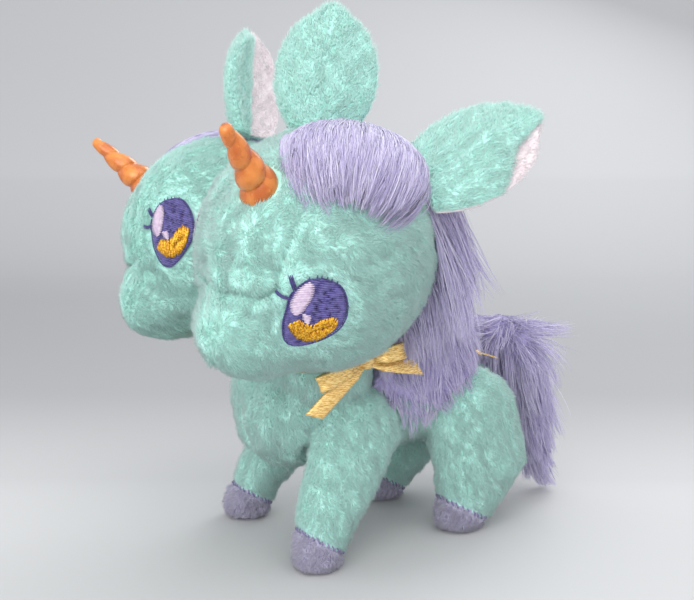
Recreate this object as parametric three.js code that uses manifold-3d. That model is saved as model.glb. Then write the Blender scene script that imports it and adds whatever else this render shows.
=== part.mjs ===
// A two-headed plush unicorn, 19 cm tall: sewn fur-fabric skins over stuffing, cast horns,
// satin ribbon bows and long-pile manes.
// Millimetres, +Z up, the animal faces -Y and its left side is +X.
import * as THREE from 'three';
import { mergeVertices } from 'three/addons/utils/BufferGeometryUtils.js';
import { ConvexGeometry } from 'three/addons/geometries/ConvexGeometry.js';
import Module from 'manifold-3d';

const wasm = await Module();
wasm.setup();

// ---- Driving dimensions ------------------------------------------------------------------

const CLOTH = 1.2;           // thickness of the backed fur fabric
const GAP = 0.35;            // clearance between neighbouring pieces
const CLEAR = 0.6;           // clearance around a part that turns
const BODY_SHIFT_Y = -8.07;  // puts the origin under the middle of the whole animal

// Head: a near-round ball with a blunt muzzle, in the head's own frame (front is -Y).
const HEAD_CENTRE = [38.4, -38.5, 110.3];
const HEAD_YAW = 11;         // degrees, each head looks outward
const HEAD_ROLL = 20;        // degrees, the tops of the heads lean apart
const HEAD_HALF = [37.6, 37.8, 37.8];
const MUZZLE_CENTRE = [5, -19.5, -18.5];
const MUZZLE_HALF = [18.5, 22, 16];
const MUZZLE_PITCH = 33;     // degrees below level
const MUZZLE_BLEND = 14;     // higher makes a sharper crease round the muzzle
const NOD_PIVOT = [0, -27, 80];
const NOD_RANGE = [-10, 10];

// Horn: a twisted cone with a swollen foot, set into the forehead.
const HORN_FOOT = [1.8, -25.8, 19.8];
const HORN_DIRECTION = [0.14, -0.6, 0.79];
const HORN_LENGTH = 26;
const HORN_ROOT = 5;
const HORN_RADIUS = 6.4;
const HORN_TIP_RADIUS = 0.9;
const HORN_TURNS = 3.2;
const HORN_TAPER = { fall: 0.72, power: 0.8 };      // how the radius falls from foot to tip
const HORN_RIDGE = { base: 0.88, height: 0.12 };    // shares of the radius
const HORN_SOCKET_CLEAR = 0.2;

// Eye: embroidered patches on the side of the head.
const EYE_SIDES = { outer: 54, inner: -49 };   // degrees from straight ahead
const EYE_DOWN = 11;         // degrees below level
const EYE_HALF = [9.4, 11.8];
const EYE_PILE = 0.6;        // thickness of a stitched patch
const EYE_HIGHLIGHT = [-2.6, 4, 3, 4.6];       // x, y, half width, half height on the eye
const EYE_CRESCENT_SHARE = 0.8;                // of the eye's half width and half height

// Ears: leaf-shaped, two layers. Foot and tip are in the head's frame.
const EAR_WIDTH = 33;
const EAR_BACK = 1.8;
const EAR_LINING = 1.1;
const EAR_CUP = 3.2;
const EAR_OUTLINE = { start: 0.17, power: 0.75 };   // a sine arch, part of the way up at the foot
const EARS = {
  inner: { foot: [-20.5, 8, 34.3], tip: [-29.5, 10.8, 72.5], face: [-0.66, 0.65, -0.38], range: 18 },
  outer: { foot: [20, 17, 31], tip: [32, 50, 57], face: [-0.35, 0.6, -0.75], range: 18 },
};

// Hair: each lock starts as an ellipsoid. The first two are in the head's frame.
const FORELOCK = { centre: [6, 3, 31], half: [25, 25, 14.5] };
const HEAD_MANE = { centre: [2, 27, 4], half: [25, 25, 38] };
const BACK_MANE = { centre: [6, 14, 72], half: [31, 31, 34] };
const UNDER_BACK_MANE = { centre: [0, 25, 30], half: [60, 60, 18] };   // where no hair hangs
const MANE_NECK_CLEAR = 3.2; // keeps the mane off the neck and its ribbon
const MANE_PARTING_Y = 17;   // the forelock ends and the mane begins here, in the head's frame

// Torso, nose to tail: y, middle z, half width, half height.
const TORSO_ROWS = [
  [-48.5, 54, 7, 7], [-45, 53, 16, 16], [-37, 51, 23, 21], [-22, 50, 26, 20], [-4, 50, 25, 18],
  [14, 49, 24, 17], [32, 48, 24, 17], [46, 47, 21, 14.5], [56, 47.5, 14, 10], [62, 49, 5, 4],
];
// Neck, upward: z, middle y, half width, half depth.
const NECK_ROWS = [
  [50, -20, 21, 19], [60, -23, 31, 21], [68, -25, 35, 22.5], [78, -26, 36, 22.5], [90, -27, 33, 20],
];
// The opening under each skin's stuffing: in the head's frame, and about a leg's pivot.
const NECK_HOLE = { centre: [-6, 8, -37], half: [15, 14, 9] };
const LEG_HOLE_HALF = [7, 10, 10];

// Legs (left side): hip or shoulder pivot, root ball, then rows of z, x, y, half x, half y.
// stride moves the right foot along y, because the animal stands in mid-step.
const LEGS = {
  front: {
    pivot: [23, -15, 42], root: [10.5, 17], range: [-15, 15], side: 15, stride: 0,
    rows: [
      [42, 23, -15, 10.5, 17], [32, 24.5, -19, 11.5, 14.8], [22, 26.5, -25, 11, 12.5],
      [14, 28.5, -29.5, 9, 10], [7, 29.6, -33, 8.4, 9], [2, 30, -34, 8.2, 8.8], [0, 30, -34, 6.8, 7.2],
    ],
    hoof: { y: -33, z: 9.5, slope: 33 },
  },
  hind: {
    pivot: [21, 38, 41], root: [11.5, 20], range: [-12, 12], side: 15, stride: -8,
    rows: [
      [41, 21, 38, 11.5, 20], [32, 22, 40, 12.5, 20], [23, 23, 41, 12.5, 19],
      [15, 23.5, 38, 10.8, 15], [8, 23.3, 34, 9.2, 11.4], [2, 23, 32, 8.6, 9.8], [0, 23, 32, 7.2, 8.2],
    ],
    hoof: { y: 31.5, z: 8.5, slope: 30 },
  },
};

// Tail: a plume that rises from the rump and falls to just above the ground.
// x, y, z, half width, half depth.
const TAIL_PIVOT = [0, 59, 55];
const TAIL_ROOT_RADIUS = 5;
const TAIL_RANGE = [0, 30];
const TAIL_ROWS = [
  [0, 60, 58, 4.5, 4.5], [1, 62, 67, 8, 7], [2, 67, 73, 12, 9], [3, 74, 64, 14, 11],
  [3, 78, 43, 14, 11], [3, 83, 21, 11.5, 10], [4, 90, 4.5, 4.5, 4.5],
];

// Ribbons.
const RIBBON_WIDTH = 6;
const RIBBON_THICK = 0.7;
const COLLAR = { y: -25.5, z: 73.5, half: [36.2, 23.6], slope: 6 };
const BOW_KNOT = [41, -21, 73.5];
const TAIL_BOW_KNOT = [3, 45, 64.8];
const TAIL_BOW_ROOM = [18, 9, 6];
const NECK_BOW = { knot: [2.6, 2.8, 3], width: RIBBON_WIDTH * 0.8, endWidth: RIBBON_WIDTH * 0.8, depth: 5 };
const TAIL_BOW = { knot: [2.2, 2, 2], width: RIBBON_WIDTH * 0.55, endWidth: RIBBON_WIDTH * 0.5, depth: 3.6 };
const NECK_BOW_START = 4;                      // from the knot's middle to where a piece begins
const TAIL_BOW_START = { loop: 3, end: 4.6 };
const RIBBON_END = { root: 0.7, slant: 0.4 };  // width at the knot and slant of the cut, by width

// ---- Materials ---------------------------------------------------------------------------

const material = (color, roughness, metalness = 0) =>
  new THREE.MeshStandardMaterial({ color, roughness, metalness });

const FINISH = {
  mint: () => material(0x8fd8c4, 0.95),
  stuffing: () => material(0xf2f0ea, 0.95),
  hoof: () => material(0xa9a5c6, 0.95),
  lilac: () => material(0xa99bcb, 0.8),
  lining: () => material(0xe9dde2, 0.95),
  horn: () => material(0xdc8138, 0.3),
  iris: () => material(0x5a5494, 0.7),
  highlight: () => material(0xd9c9dc, 0.7),
  glint: () => material(0xd9a32e, 0.4, 0.3),
  ribbon: () => material(0xc9a04e, 0.35),
};

// ---- Solid helpers -----------------------------------------------------------------------

const vec = (values) => new THREE.Vector3(...values);
const radians = THREE.MathUtils.degToRad;

function toSolid(geometry) {
  const bare = geometry.clone();
  bare.deleteAttribute('normal');
  bare.deleteAttribute('uv');
  const merged = mergeVertices(bare, 1e-4);
  return new wasm.Manifold(new wasm.Mesh({
    numProp: 3,
    vertProperties: new Float32Array(merged.getAttribute('position').array),
    triVerts: new Uint32Array(merged.index.array),
  }));
}

function toGeometry(solid) {
  const mesh = solid.getMesh();
  const geometry = new THREE.BufferGeometry();
  geometry.setAttribute('position', new THREE.BufferAttribute(new Float32Array(mesh.vertProperties), 3));
  geometry.setIndex(new THREE.BufferAttribute(new Uint32Array(mesh.triVerts), 1));
  geometry.computeVertexNormals();
  return geometry;
}

// A closed body through a row of rings with equal counts, each end closed on its middle.
function loft(rings) {
  const count = rings[0].length;
  const points = rings.flat();
  const faces = [];
  for (let row = 0; row + 1 < rings.length; row += 1) {
    for (let i = 0; i < count; i += 1) {
      const a = row * count + i;
      const b = row * count + ((i + 1) % count);
      faces.push(a, b, b + count, a, b + count, a + count);
    }
  }
  for (const [row, flip] of [[0, true], [rings.length - 1, false]]) {
    const middle = new THREE.Vector3();
    rings[row].forEach((point) => middle.addScaledVector(point, 1 / count));
    const hub = points.length;
    points.push(middle);
    for (let i = 0; i < count; i += 1) {
      const a = row * count + i;
      const b = row * count + ((i + 1) % count);
      faces.push(hub, flip ? b : a, flip ? a : b);
    }
  }
  const geometry = new THREE.BufferGeometry().setFromPoints(points);
  geometry.setIndex(faces);
  return outward(geometry);
}

// Turns the faces round if the body is inside out.
function outward(geometry) {
  const position = geometry.getAttribute('position');
  const index = geometry.index.array;
  const corner = (i) => new THREE.Vector3().fromBufferAttribute(position, index[i]);
  let volume = 0;
  for (let i = 0; i < index.length; i += 3) {
    volume += corner(i).dot(corner(i + 1).cross(corner(i + 2)));
  }
  return volume < 0 ? flipped(geometry) : geometry;
}

function flipped(geometry) {
  const index = Array.from(geometry.index.array);
  for (let i = 0; i < index.length; i += 3) {
    [index[i], index[i + 1]] = [index[i + 1], index[i]];
  }
  geometry.setIndex(index);
  return geometry;
}

function mirrored(geometry) {
  return flipped(geometry.clone().applyMatrix4(new THREE.Matrix4().makeScale(-1, 1, 1)));
}

// An elliptical ring about a middle point, between two half axes.
function ring(middle, across, along, sides) {
  return Array.from({ length: sides }, (_, i) => {
    const angle = (i / sides) * 2 * Math.PI;
    return middle.clone().addScaledVector(across, Math.cos(angle)).addScaledVector(along, Math.sin(angle));
  });
}

function ellipsoid(centre, half, columns = 14, rows = 8) {
  const geometry = new THREE.SphereGeometry(1, columns, rows);
  geometry.scale(...half);
  geometry.translate(...centre);
  return geometry;
}

function turned(geometry, pivot, degrees, axis = [1, 0, 0]) {
  const spin = new THREE.Matrix4().makeRotationAxis(vec(axis).normalize(), radians(degrees));
  return geometry.clone().translate(...pivot.map((v) => -v)).applyMatrix4(spin).translate(...pivot);
}

// The room that a part needs while it turns between its limits.
function sweep(geometry, pivot, range, axis = [1, 0, 0], keep = () => true) {
  const points = [];
  for (const degrees of [range[0], (range[0] + range[1]) / 2, range[1]]) {
    const position = turned(geometry, pivot, degrees, axis).getAttribute('position');
    for (let i = 0; i < position.count; i += 1) {
      const point = new THREE.Vector3().fromBufferAttribute(position, i);
      if (keep(point)) {
        points.push(point);
      }
    }
  }
  return toSolid(new ConvexGeometry(points));
}

// A large block whose top face is the plane through (0, y, z) that falls by slope degrees per y.
function belowPlane(y, z, slope) {
  const size = 200;
  const block = new THREE.BoxGeometry(size, size, size);
  block.translate(0, 0, -size / 2);
  block.applyMatrix4(new THREE.Matrix4().makeRotationX(-radians(slope)));
  block.translate(0, y, z);
  return block;
}

// ---- Group that holds the pieces -----------------------------------------------------------

const group = new THREE.Group();
const animal = new THREE.Group();
animal.position.y = BODY_SHIFT_Y;
group.add(animal);

function addPiece(name, geometry, finish) {
  const mesh = new THREE.Mesh(geometry, FINISH[finish]());
  mesh.name = name;
  animal.add(mesh);
}

// The same piece on both sides; the pattern holds the word SIDE.
function addPair(pattern, geometry, finish) {
  addPiece(pattern.replace('SIDE', 'left'), geometry, finish);
  addPiece(pattern.replace('SIDE', 'right'), mirrored(geometry), finish);
}

// ---- Heads ---------------------------------------------------------------------------------

const headFrame = new THREE.Matrix4()
  .makeRotationZ(radians(HEAD_YAW))
  .multiply(new THREE.Matrix4().makeRotationY(radians(HEAD_ROLL)))
  .setPosition(...HEAD_CENTRE);

// Distance from the origin to where a ray leaves an ellipsoid that is pitched about X.
function rayExit(direction, centre, half, pitch) {
  const tilt = new THREE.Matrix4().makeRotationX(-radians(pitch));
  const ray = direction.clone().applyMatrix4(tilt).divide(vec(half));
  const start = vec(centre).negate().applyMatrix4(tilt).divide(vec(half));
  const b = start.dot(ray);
  const root = b * b - ray.lengthSq() * (start.lengthSq() - 1);
  return root > 0 ? (Math.sqrt(root) - b) / ray.lengthSq() : 0;
}

function headRadius(direction) {
  const skull = rayExit(direction, [0, 0, 0], HEAD_HALF, 0);
  const muzzle = Math.max(0, rayExit(direction, MUZZLE_CENTRE, MUZZLE_HALF, MUZZLE_PITCH));
  return (skull ** MUZZLE_BLEND + muzzle ** MUZZLE_BLEND) ** (1 / MUZZLE_BLEND);
}

// The head grown by a distance, in the head's own frame.
function headShape(extra, columns, rows) {
  const geometry = new THREE.SphereGeometry(1, columns, rows);
  const position = geometry.getAttribute('position');
  for (let i = 0; i < position.count; i += 1) {
    const direction = new THREE.Vector3().fromBufferAttribute(position, i).normalize();
    direction.multiplyScalar(headRadius(direction) + extra);
    position.setXYZ(i, direction.x, direction.y, direction.z);
  }
  return geometry;
}

const HEAD_COLUMNS = 20;
const HEAD_ROWS = 14;
const SAG = 1.8;             // how far a coarse cutter's faces fall inside the true round shape

const headOuter = toSolid(headShape(0, HEAD_COLUMNS, HEAD_ROWS));
const headRoom = toSolid(headShape(GAP, HEAD_COLUMNS, HEAD_ROWS));
const headSweep = sweep(
  headShape(CLEAR + SAG, 12, 8).applyMatrix4(headFrame), NOD_PIVOT, NOD_RANGE,
);

// Horn: rings along its axis, with one ridge that winds round it.
function hornShape() {
  const sides = 8;
  const rows = 12;
  const axis = vec(HORN_DIRECTION).normalize();
  const along = axis.clone().cross(new THREE.Vector3(1, 0, 0)).normalize();
  const across = along.clone().cross(axis);
  const rings = [];
  for (let row = 0; row <= rows; row += 1) {
    const along01 = row / rows;
    const height = along01 * HORN_LENGTH;
    const swell = 1 - HORN_TAPER.fall * along01 ** HORN_TAPER.power;
    const middle = vec(HORN_FOOT).addScaledVector(axis, height);
    rings.push(Array.from({ length: sides }, (_, i) => {
      const angle = (i / sides) * 2 * Math.PI;
      const ridge = HORN_RIDGE.height * Math.cos(2 * angle - 2 * Math.PI * HORN_TURNS * along01);
      const radius = Math.max(HORN_TIP_RADIUS, HORN_RADIUS * swell * (HORN_RIDGE.base + ridge));
      return middle.clone().addScaledVector(across, radius * Math.cos(angle))
        .addScaledVector(along, radius * Math.sin(angle));
    }));
  }
  const root = vec(HORN_FOOT).addScaledVector(axis, -HORN_ROOT);
  const rootRadius = HORN_RADIUS * 0.7;
  rings.unshift(ring(
    root, across.clone().multiplyScalar(rootRadius), along.clone().multiplyScalar(rootRadius), sides,
  ));
  return loft(rings);
}

// The socket that the horn's root stands in.
function hornSocket() {
  const depth = HORN_ROOT + 14;
  const radius = HORN_RADIUS + GAP + HORN_SOCKET_CLEAR;
  const socket = new THREE.CylinderGeometry(radius, radius, depth, 12);
  socket.translate(0, depth / 2 - HORN_ROOT - GAP, 0);
  const turn = new THREE.Quaternion().setFromUnitVectors(
    new THREE.Vector3(0, 1, 0), vec(HORN_DIRECTION).normalize(),
  );
  return socket.applyQuaternion(turn).translate(...HORN_FOOT);
}

const socket = toSolid(hornSocket());
const neckHole = toSolid(ellipsoid(NECK_HOLE.centre, NECK_HOLE.half));

const headSkin = headOuter
  .subtract(toSolid(headShape(-CLOTH, 12, 8)))
  .subtract(socket)
  .subtract(neckHole);
const headStuffing = toSolid(headShape(-CLOTH - GAP, 12, 8)).subtract(socket);

addPair('head_skin_SIDE', toGeometry(headSkin).applyMatrix4(headFrame), 'mint');
addPair('head_stuffing_SIDE', toGeometry(headStuffing).applyMatrix4(headFrame), 'stuffing');
addPair('horn_SIDE', hornShape().applyMatrix4(headFrame), 'horn');

// ---- Eyes ----------------------------------------------------------------------------------

// A patch of stitching between two heights over the head, inside an outline seen from outside.
function eyePatch(outline, side, low, high) {
  const reach = { from: 22, depth: 30 };       // takes in the head's whole surface at the eye
  const prism = new THREE.ExtrudeGeometry(
    outline, { depth: reach.depth, bevelEnabled: false, curveSegments: 5 },
  );
  prism.translate(0, 0, reach.from);
  const outwardTurn = new THREE.Matrix4()
    .makeRotationZ(radians(side))
    .multiply(new THREE.Matrix4().makeRotationX(radians(90 + EYE_DOWN)));
  prism.applyMatrix4(outwardTurn);
  const shell = toSolid(headShape(high, 24, 18)).subtract(toSolid(headShape(low, 24, 18)));
  return toGeometry(shell.intersect(toSolid(prism)));
}

function ovalOutline(x, y, halfWidth, halfHeight) {
  return new THREE.Shape().absellipse(x, y, halfWidth, halfHeight, 0, 2 * Math.PI);
}

// The gold crescent along the foot of the eye.
function crescentOutline() {
  const [w, h] = EYE_HALF.map((v) => v * EYE_CRESCENT_SHARE);
  const shape = new THREE.Shape();
  shape.moveTo(-w, -h * 0.3);
  shape.quadraticCurveTo(-w * 0.9, -h * 1.05, 0, -h * 1.12);
  shape.quadraticCurveTo(w * 0.9, -h * 1.05, w, -h * 0.3);
  shape.quadraticCurveTo(0, -h * 0.75, -w, -h * 0.3);
  return shape;
}

for (const [place, side] of Object.entries(EYE_SIDES)) {
  const irisLow = GAP;
  const topLow = 2 * GAP + EYE_PILE;
  const patches = {
    iris: eyePatch(ovalOutline(0, 0, ...EYE_HALF), side, irisLow, irisLow + EYE_PILE),
    highlight: eyePatch(ovalOutline(...EYE_HIGHLIGHT), side, topLow, topLow + EYE_PILE),
    glint: eyePatch(crescentOutline(), side, topLow, topLow + EYE_PILE),
  };
  for (const [part, geometry] of Object.entries(patches)) {
    addPair(`eye_${place}_${part}_SIDE`, geometry.applyMatrix4(headFrame), part);
  }
}

// ---- Ears ----------------------------------------------------------------------------------

const EAR_CELL_ROWS = 5;
const EAR_CELL_COLUMNS = 4;

// One side of an ear: rows of points from the foot up, then the tip.
function leafLayer(ear, across, face, depth) {
  const foot = vec(ear.foot);
  const length = vec(ear.tip).sub(foot);
  const { start, power } = EAR_OUTLINE;
  const points = [];
  for (let row = 0; row < EAR_CELL_ROWS; row += 1) {
    const up = row / EAR_CELL_ROWS;
    const halfWidth = (EAR_WIDTH / 2) * Math.sin(Math.PI * (start + (1 - start) * up)) ** power;
    for (let column = 0; column <= EAR_CELL_COLUMNS; column += 1) {
      const v = (2 * column) / EAR_CELL_COLUMNS - 1;
      const cup = EAR_CUP * v * v * (1 - 0.6 * up);
      points.push(foot.clone().addScaledVector(length, up).addScaledVector(across, v * halfWidth)
        .addScaledVector(face, depth + cup));
    }
  }
  points.push(foot.clone().add(length).addScaledVector(face, depth));
  return points;
}

// A cupped leaf between two depths, from its foot to its tip.
function leaf(ear, near, far) {
  const rows = EAR_CELL_ROWS;
  const columns = EAR_CELL_COLUMNS;
  const length = vec(ear.tip).sub(vec(ear.foot));
  const lean = -vec(ear.face).dot(length) / length.lengthSq();
  const face = vec(ear.face).addScaledVector(length, lean).normalize();
  const across = length.clone().cross(face).normalize();
  const stride = rows * (columns + 1) + 1;
  const faces = [];
  const at = (row, column) => (row === rows ? stride - 1 : row * (columns + 1) + column);
  for (let row = 0; row < rows; row += 1) {
    for (let column = 0; column < columns; column += 1) {
      const quad = [at(row, column), at(row, column + 1), at(row + 1, column + 1), at(row + 1, column)];
      faces.push(quad[0], quad[1], quad[2], stride + quad[0], stride + quad[2], stride + quad[1]);
      if (row + 1 < rows) {
        faces.push(quad[0], quad[2], quad[3], stride + quad[0], stride + quad[3], stride + quad[2]);
      }
    }
  }
  const rim = [];
  for (let column = 0; column < columns; column += 1) {
    rim.push([at(0, column + 1), at(0, column)]);
  }
  for (let row = 0; row < rows; row += 1) {
    rim.push([at(row, 0), at(row + 1, 0)]);
    rim.push([at(row + 1, columns), at(row, columns)]);
  }
  for (const [a, b] of rim) {
    faces.push(a, b, stride + b, a, stride + b, stride + a);
  }
  const layers = [near, far].map((depth) => leafLayer(ear, across, face, depth));
  const geometry = new THREE.BufferGeometry().setFromPoints(layers.flat());
  geometry.setIndex(faces);
  return { geometry: outward(geometry), across };
}

const earSweeps = [];
for (const [place, ear] of Object.entries(EARS)) {
  const back = leaf(ear, -EAR_BACK - GAP / 2, -GAP / 2);
  const lining = leaf(ear, GAP / 2, EAR_LINING + GAP / 2);
  addPair(`ear_${place}_back_SIDE`, back.geometry.clone().applyMatrix4(headFrame), 'mint');
  addPair(`ear_${place}_lining_SIDE`, lining.geometry.clone().applyMatrix4(headFrame), 'lining');
  const whole = leaf(ear, -EAR_BACK - CLEAR, EAR_LINING + CLEAR);
  earSweeps.push(sweep(whole.geometry, ear.foot, [-ear.range, ear.range], whole.across.toArray()));
}

// ---- Forelock and head mane ------------------------------------------------------------------

// Everything in front of (-1) or behind (1) the parting.
function zoneBesideParting(side) {
  const size = 200;
  const middle = MANE_PARTING_Y + side * (size / 2 + GAP / 2);
  return toSolid(new THREE.BoxGeometry(size, size, size).translate(0, middle, 0));
}

function hairOnHead({ centre, half }, zone) {
  let hair = toSolid(ellipsoid(centre, half, 14, 8));
  hair = hair.subtract(headRoom).subtract(socket).intersect(zone);
  for (const room of earSweeps) {
    hair = hair.subtract(room);
  }
  return hair;
}

const forelock = hairOnHead(FORELOCK, zoneBesideParting(-1));
const mane = hairOnHead(HEAD_MANE, zoneBesideParting(1));
// The neck as the mane meets it with the head upright, half tipped back and fully tipped back.
const neckRooms = [0, 0.5, 1].map((share) => toSolid(
  turned(toGeometry(torsoShape(MANE_NECK_CLEAR, 12)), NOD_PIVOT, -share * NOD_RANGE[0]),
));
const placedMane = toSolid(toGeometry(mane).applyMatrix4(headFrame));
const maneGeometry = toGeometry(neckRooms.reduce((hair, room) => hair.subtract(room), placedMane));
addPair('forelock_SIDE', toGeometry(forelock).applyMatrix4(headFrame), 'lilac');
addPair('mane_SIDE', maneGeometry, 'lilac');

// ---- Legs ------------------------------------------------------------------------------------

const LEG_SIDES = 12;
const LINING_SIDES = 8;      // the inside of a skin needs fewer sides than its outside

// A leg with a round top about its pivot, then a shaft down to a flat sole.
function legShape(leg, stride, inset, sides) {
  const [rootHalfX, rootRadius] = leg.root.map((v) => v - inset);
  const crown = [78, 52, 26].map((degrees) => {
    const [flat, rise] = [Math.cos(radians(degrees)), Math.sin(radians(degrees))];
    return ring(
      vec(leg.pivot).add(new THREE.Vector3(0, 0, rootRadius * rise)),
      new THREE.Vector3(rootHalfX * flat, 0, 0), new THREE.Vector3(0, rootRadius * flat, 0), sides,
    );
  });
  const foot = leg.rows.length - 1;
  const shaft = leg.rows.map(([z, x, y, halfX, halfY], row) => ring(
    new THREE.Vector3(x, y + stride * (1 - z / leg.pivot[2]), row === foot ? z + inset : z),
    new THREE.Vector3(halfX - inset, 0, 0), new THREE.Vector3(0, halfY - inset, 0), sides,
  ));
  return loft([...crown, ...shaft]);
}

const legRooms = [];
for (const [place, leg] of Object.entries(LEGS)) {
  for (const side of ['left', 'right']) {
    const stride = side === 'right' ? leg.stride : 0;
    const onSide = (geometry) => (side === 'right' ? mirrored(geometry) : geometry);
    const { y, z, slope } = leg.hoof;
    const shell = toSolid(legShape(leg, stride, 0, LEG_SIDES))
      .subtract(toSolid(legShape(leg, stride, CLOTH, LINING_SIDES)));
    const [pivotX, pivotY, pivotZ] = leg.pivot;
    const openingCentre = [pivotX - leg.root[0], pivotY, pivotZ];
    const opening = toSolid(ellipsoid(openingCentre, LEG_HOLE_HALF, 8, 6));
    const hoof = shell.intersect(toSolid(belowPlane(y + stride, z, slope)));
    const skin = shell.subtract(toSolid(belowPlane(y + stride, z + GAP, slope))).subtract(opening);
    const stuffing = legShape(leg, stride, CLOTH + GAP, LINING_SIDES);
    const room = legShape(leg, stride, -CLEAR - SAG / 2, LINING_SIDES);
    addPiece(`leg_${place}_skin_${side}`, onSide(toGeometry(skin)), 'mint');
    addPiece(`leg_${place}_stuffing_${side}`, onSide(stuffing), 'stuffing');
    addPiece(`hoof_${place}_${side}`, onSide(toGeometry(hoof)), 'hoof');
    legRooms.push(sweep(onSide(room), leg.pivot, leg.range, [1, 0, 0], (point) => point.z > leg.side));
  }
}

// ---- Torso -----------------------------------------------------------------------------------

function torsoShape(extra, sides = 16) {
  const body = TORSO_ROWS.map(([y, z, halfX, halfZ]) => ring(
    new THREE.Vector3(0, y + Math.sign(y) * Math.max(0, extra), z),
    new THREE.Vector3(halfX + extra, 0, 0), new THREE.Vector3(0, 0, halfZ + extra), sides,
  ));
  const neck = NECK_ROWS.map(([z, y, halfX, halfY]) => ring(
    new THREE.Vector3(0, y, z),
    new THREE.Vector3(halfX + extra, 0, 0), new THREE.Vector3(0, halfY + extra, 0), sides,
  ));
  return toSolid(loft(body)).add(toSolid(loft(neck)));
}

function mirroredSolid(solid) {
  return toSolid(mirrored(toGeometry(solid)));
}

const tailRoom = toSolid(ellipsoid(TAIL_PIVOT, Array(3).fill(TAIL_ROOT_RADIUS + CLEAR), 10, 6));

function carvedTorso(solid) {
  return [tailRoom, headSweep, mirroredSolid(headSweep), ...legRooms]
    .reduce((carved, room) => carved.subtract(room), solid);
}

addPiece('torso_skin', toGeometry(carvedTorso(torsoShape(0).subtract(torsoShape(-CLOTH, 12)))), 'mint');
addPiece('torso_stuffing', toGeometry(carvedTorso(torsoShape(-CLOTH - GAP, 12))), 'stuffing');

// ---- Tail and back mane ----------------------------------------------------------------------

// The rump as the tail meets it half lifted and fully lifted.
const rumpRooms = [0.5, 1].map((share) => toSolid(
  turned(toGeometry(torsoShape(GAP, 12)), TAIL_PIVOT, -share * TAIL_RANGE[1]),
));

// The tail, grown by a distance.
function plume(extra) {
  const middles = TAIL_ROWS.map(([x, y, z]) => new THREE.Vector3(x, y, z));
  const curve = new THREE.CatmullRomCurve3(middles);
  const steps = 9;
  const last = TAIL_ROWS.length - 1;
  const rings = Array.from({ length: steps + 1 }, (_, i) => {
    const t = i / steps;
    const row = Math.min(last - 1, Math.floor(t * last));
    const part = t * last - row;
    const [rowA, rowB] = [TAIL_ROWS[row], TAIL_ROWS[row + 1]];
    const half = [3, 4].map((k) => THREE.MathUtils.lerp(rowA[k], rowB[k], part) + extra);
    const across = new THREE.Vector3(1, 0, 0);
    const along = curve.getTangent(t).cross(across).normalize();
    return ring(curve.getPoint(t), across.multiplyScalar(half[0]), along.multiplyScalar(half[1]), 10);
  });
  const plumeSolid = rumpRooms.reduce((solid, room) => solid.subtract(room), toSolid(loft(rings)));
  return plumeSolid.add(toSolid(ellipsoid(TAIL_PIVOT, Array(3).fill(TAIL_ROOT_RADIUS + extra), 8, 6)));
}

addPiece('tail_hair', toGeometry(plume(0)), 'lilac');
const tailSweep = sweep(toGeometry(plume(CLEAR)), TAIL_PIVOT, TAIL_RANGE);

const maneSweep = sweep(
  toGeometry(toSolid(maneGeometry)), NOD_PIVOT, NOD_RANGE,
);
const backManeRooms = [
  torsoShape(GAP),
  tailSweep,
  toSolid(ellipsoid(UNDER_BACK_MANE.centre, UNDER_BACK_MANE.half, 16, 8)),
  toSolid(ellipsoid(TAIL_BOW_KNOT, TAIL_BOW_ROOM, 12, 6)),
  toSolid(collarShape(GAP)),
  headSweep,
  mirroredSolid(headSweep),
  maneSweep,
  mirroredSolid(maneSweep),
  ...legRooms,
];
const backMane = backManeRooms.reduce(
  (carved, room) => carved.subtract(room),
  toSolid(ellipsoid(BACK_MANE.centre, BACK_MANE.half, 14, 10)),
);
addPiece('mane_back', toGeometry(backMane), 'lilac');

// ---- Ribbons ---------------------------------------------------------------------------------

// The ribbon round the neck, higher at the back, grown by a distance.
function collarShape(extra = 0) {
  const segments = 28;
  const rise = Math.tan(radians(COLLAR.slope));
  const points = [];
  const faces = [];
  for (let i = 0; i < segments; i += 1) {
    const angle = (i / segments) * 2 * Math.PI;
    for (const [out, up] of [[0, -0.5], [1, -0.5], [1, 0.5], [0, 0.5]]) {
      const offset = out * RIBBON_THICK + (2 * out - 1) * extra;
      const x = (COLLAR.half[0] + offset) * Math.cos(angle);
      const y = (COLLAR.half[1] + offset) * Math.sin(angle);
      const height = up * (RIBBON_WIDTH + 2 * extra);
      points.push(new THREE.Vector3(x, COLLAR.y + y, COLLAR.z + y * rise + height));
    }
    const next = (i + 1) % segments;
    for (let side = 0; side < 4; side += 1) {
      const [a, b] = [4 * i + side, 4 * i + ((side + 1) % 4)];
      const [c, d] = [4 * next + side, 4 * next + ((side + 1) % 4)];
      faces.push(a, b, d, a, d, c);
    }
  }
  const geometry = new THREE.BufferGeometry().setFromPoints(points);
  geometry.setIndex(faces);
  return outward(geometry);
}

// A bow loop: a flattened ring of ribbon that starts beside the knot and runs along +X.
function bowLoop(length, { depth, width }) {
  const middle = length / 2;
  const outline = new THREE.Shape().absellipse(middle, 0, middle, depth / 2, 0, 2 * Math.PI);
  outline.holes.push(new THREE.Path().absellipse(
    middle, 0, middle - RIBBON_THICK, depth / 2 - RIBBON_THICK, 0, 2 * Math.PI,
  ));
  const loop = new THREE.ExtrudeGeometry(
    outline, { depth: width, bevelEnabled: false, curveSegments: 5 },
  );
  return loop.translate(0, 0, -width / 2);
}

// A ribbon end with a slanted cut, which starts beside the knot and runs along +X.
function bowEnd(length, width) {
  const rootHalf = (width * RIBBON_END.root) / 2;
  const shape = new THREE.Shape();
  shape.moveTo(0, -rootHalf);
  shape.lineTo(length, -width / 2);
  shape.lineTo(length - width * RIBBON_END.slant, width / 2);
  shape.lineTo(0, rootHalf);
  const end = new THREE.ExtrudeGeometry(shape, { depth: RIBBON_THICK, bevelEnabled: false });
  return end.translate(0, 0, -RIBBON_THICK / 2);
}

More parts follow.
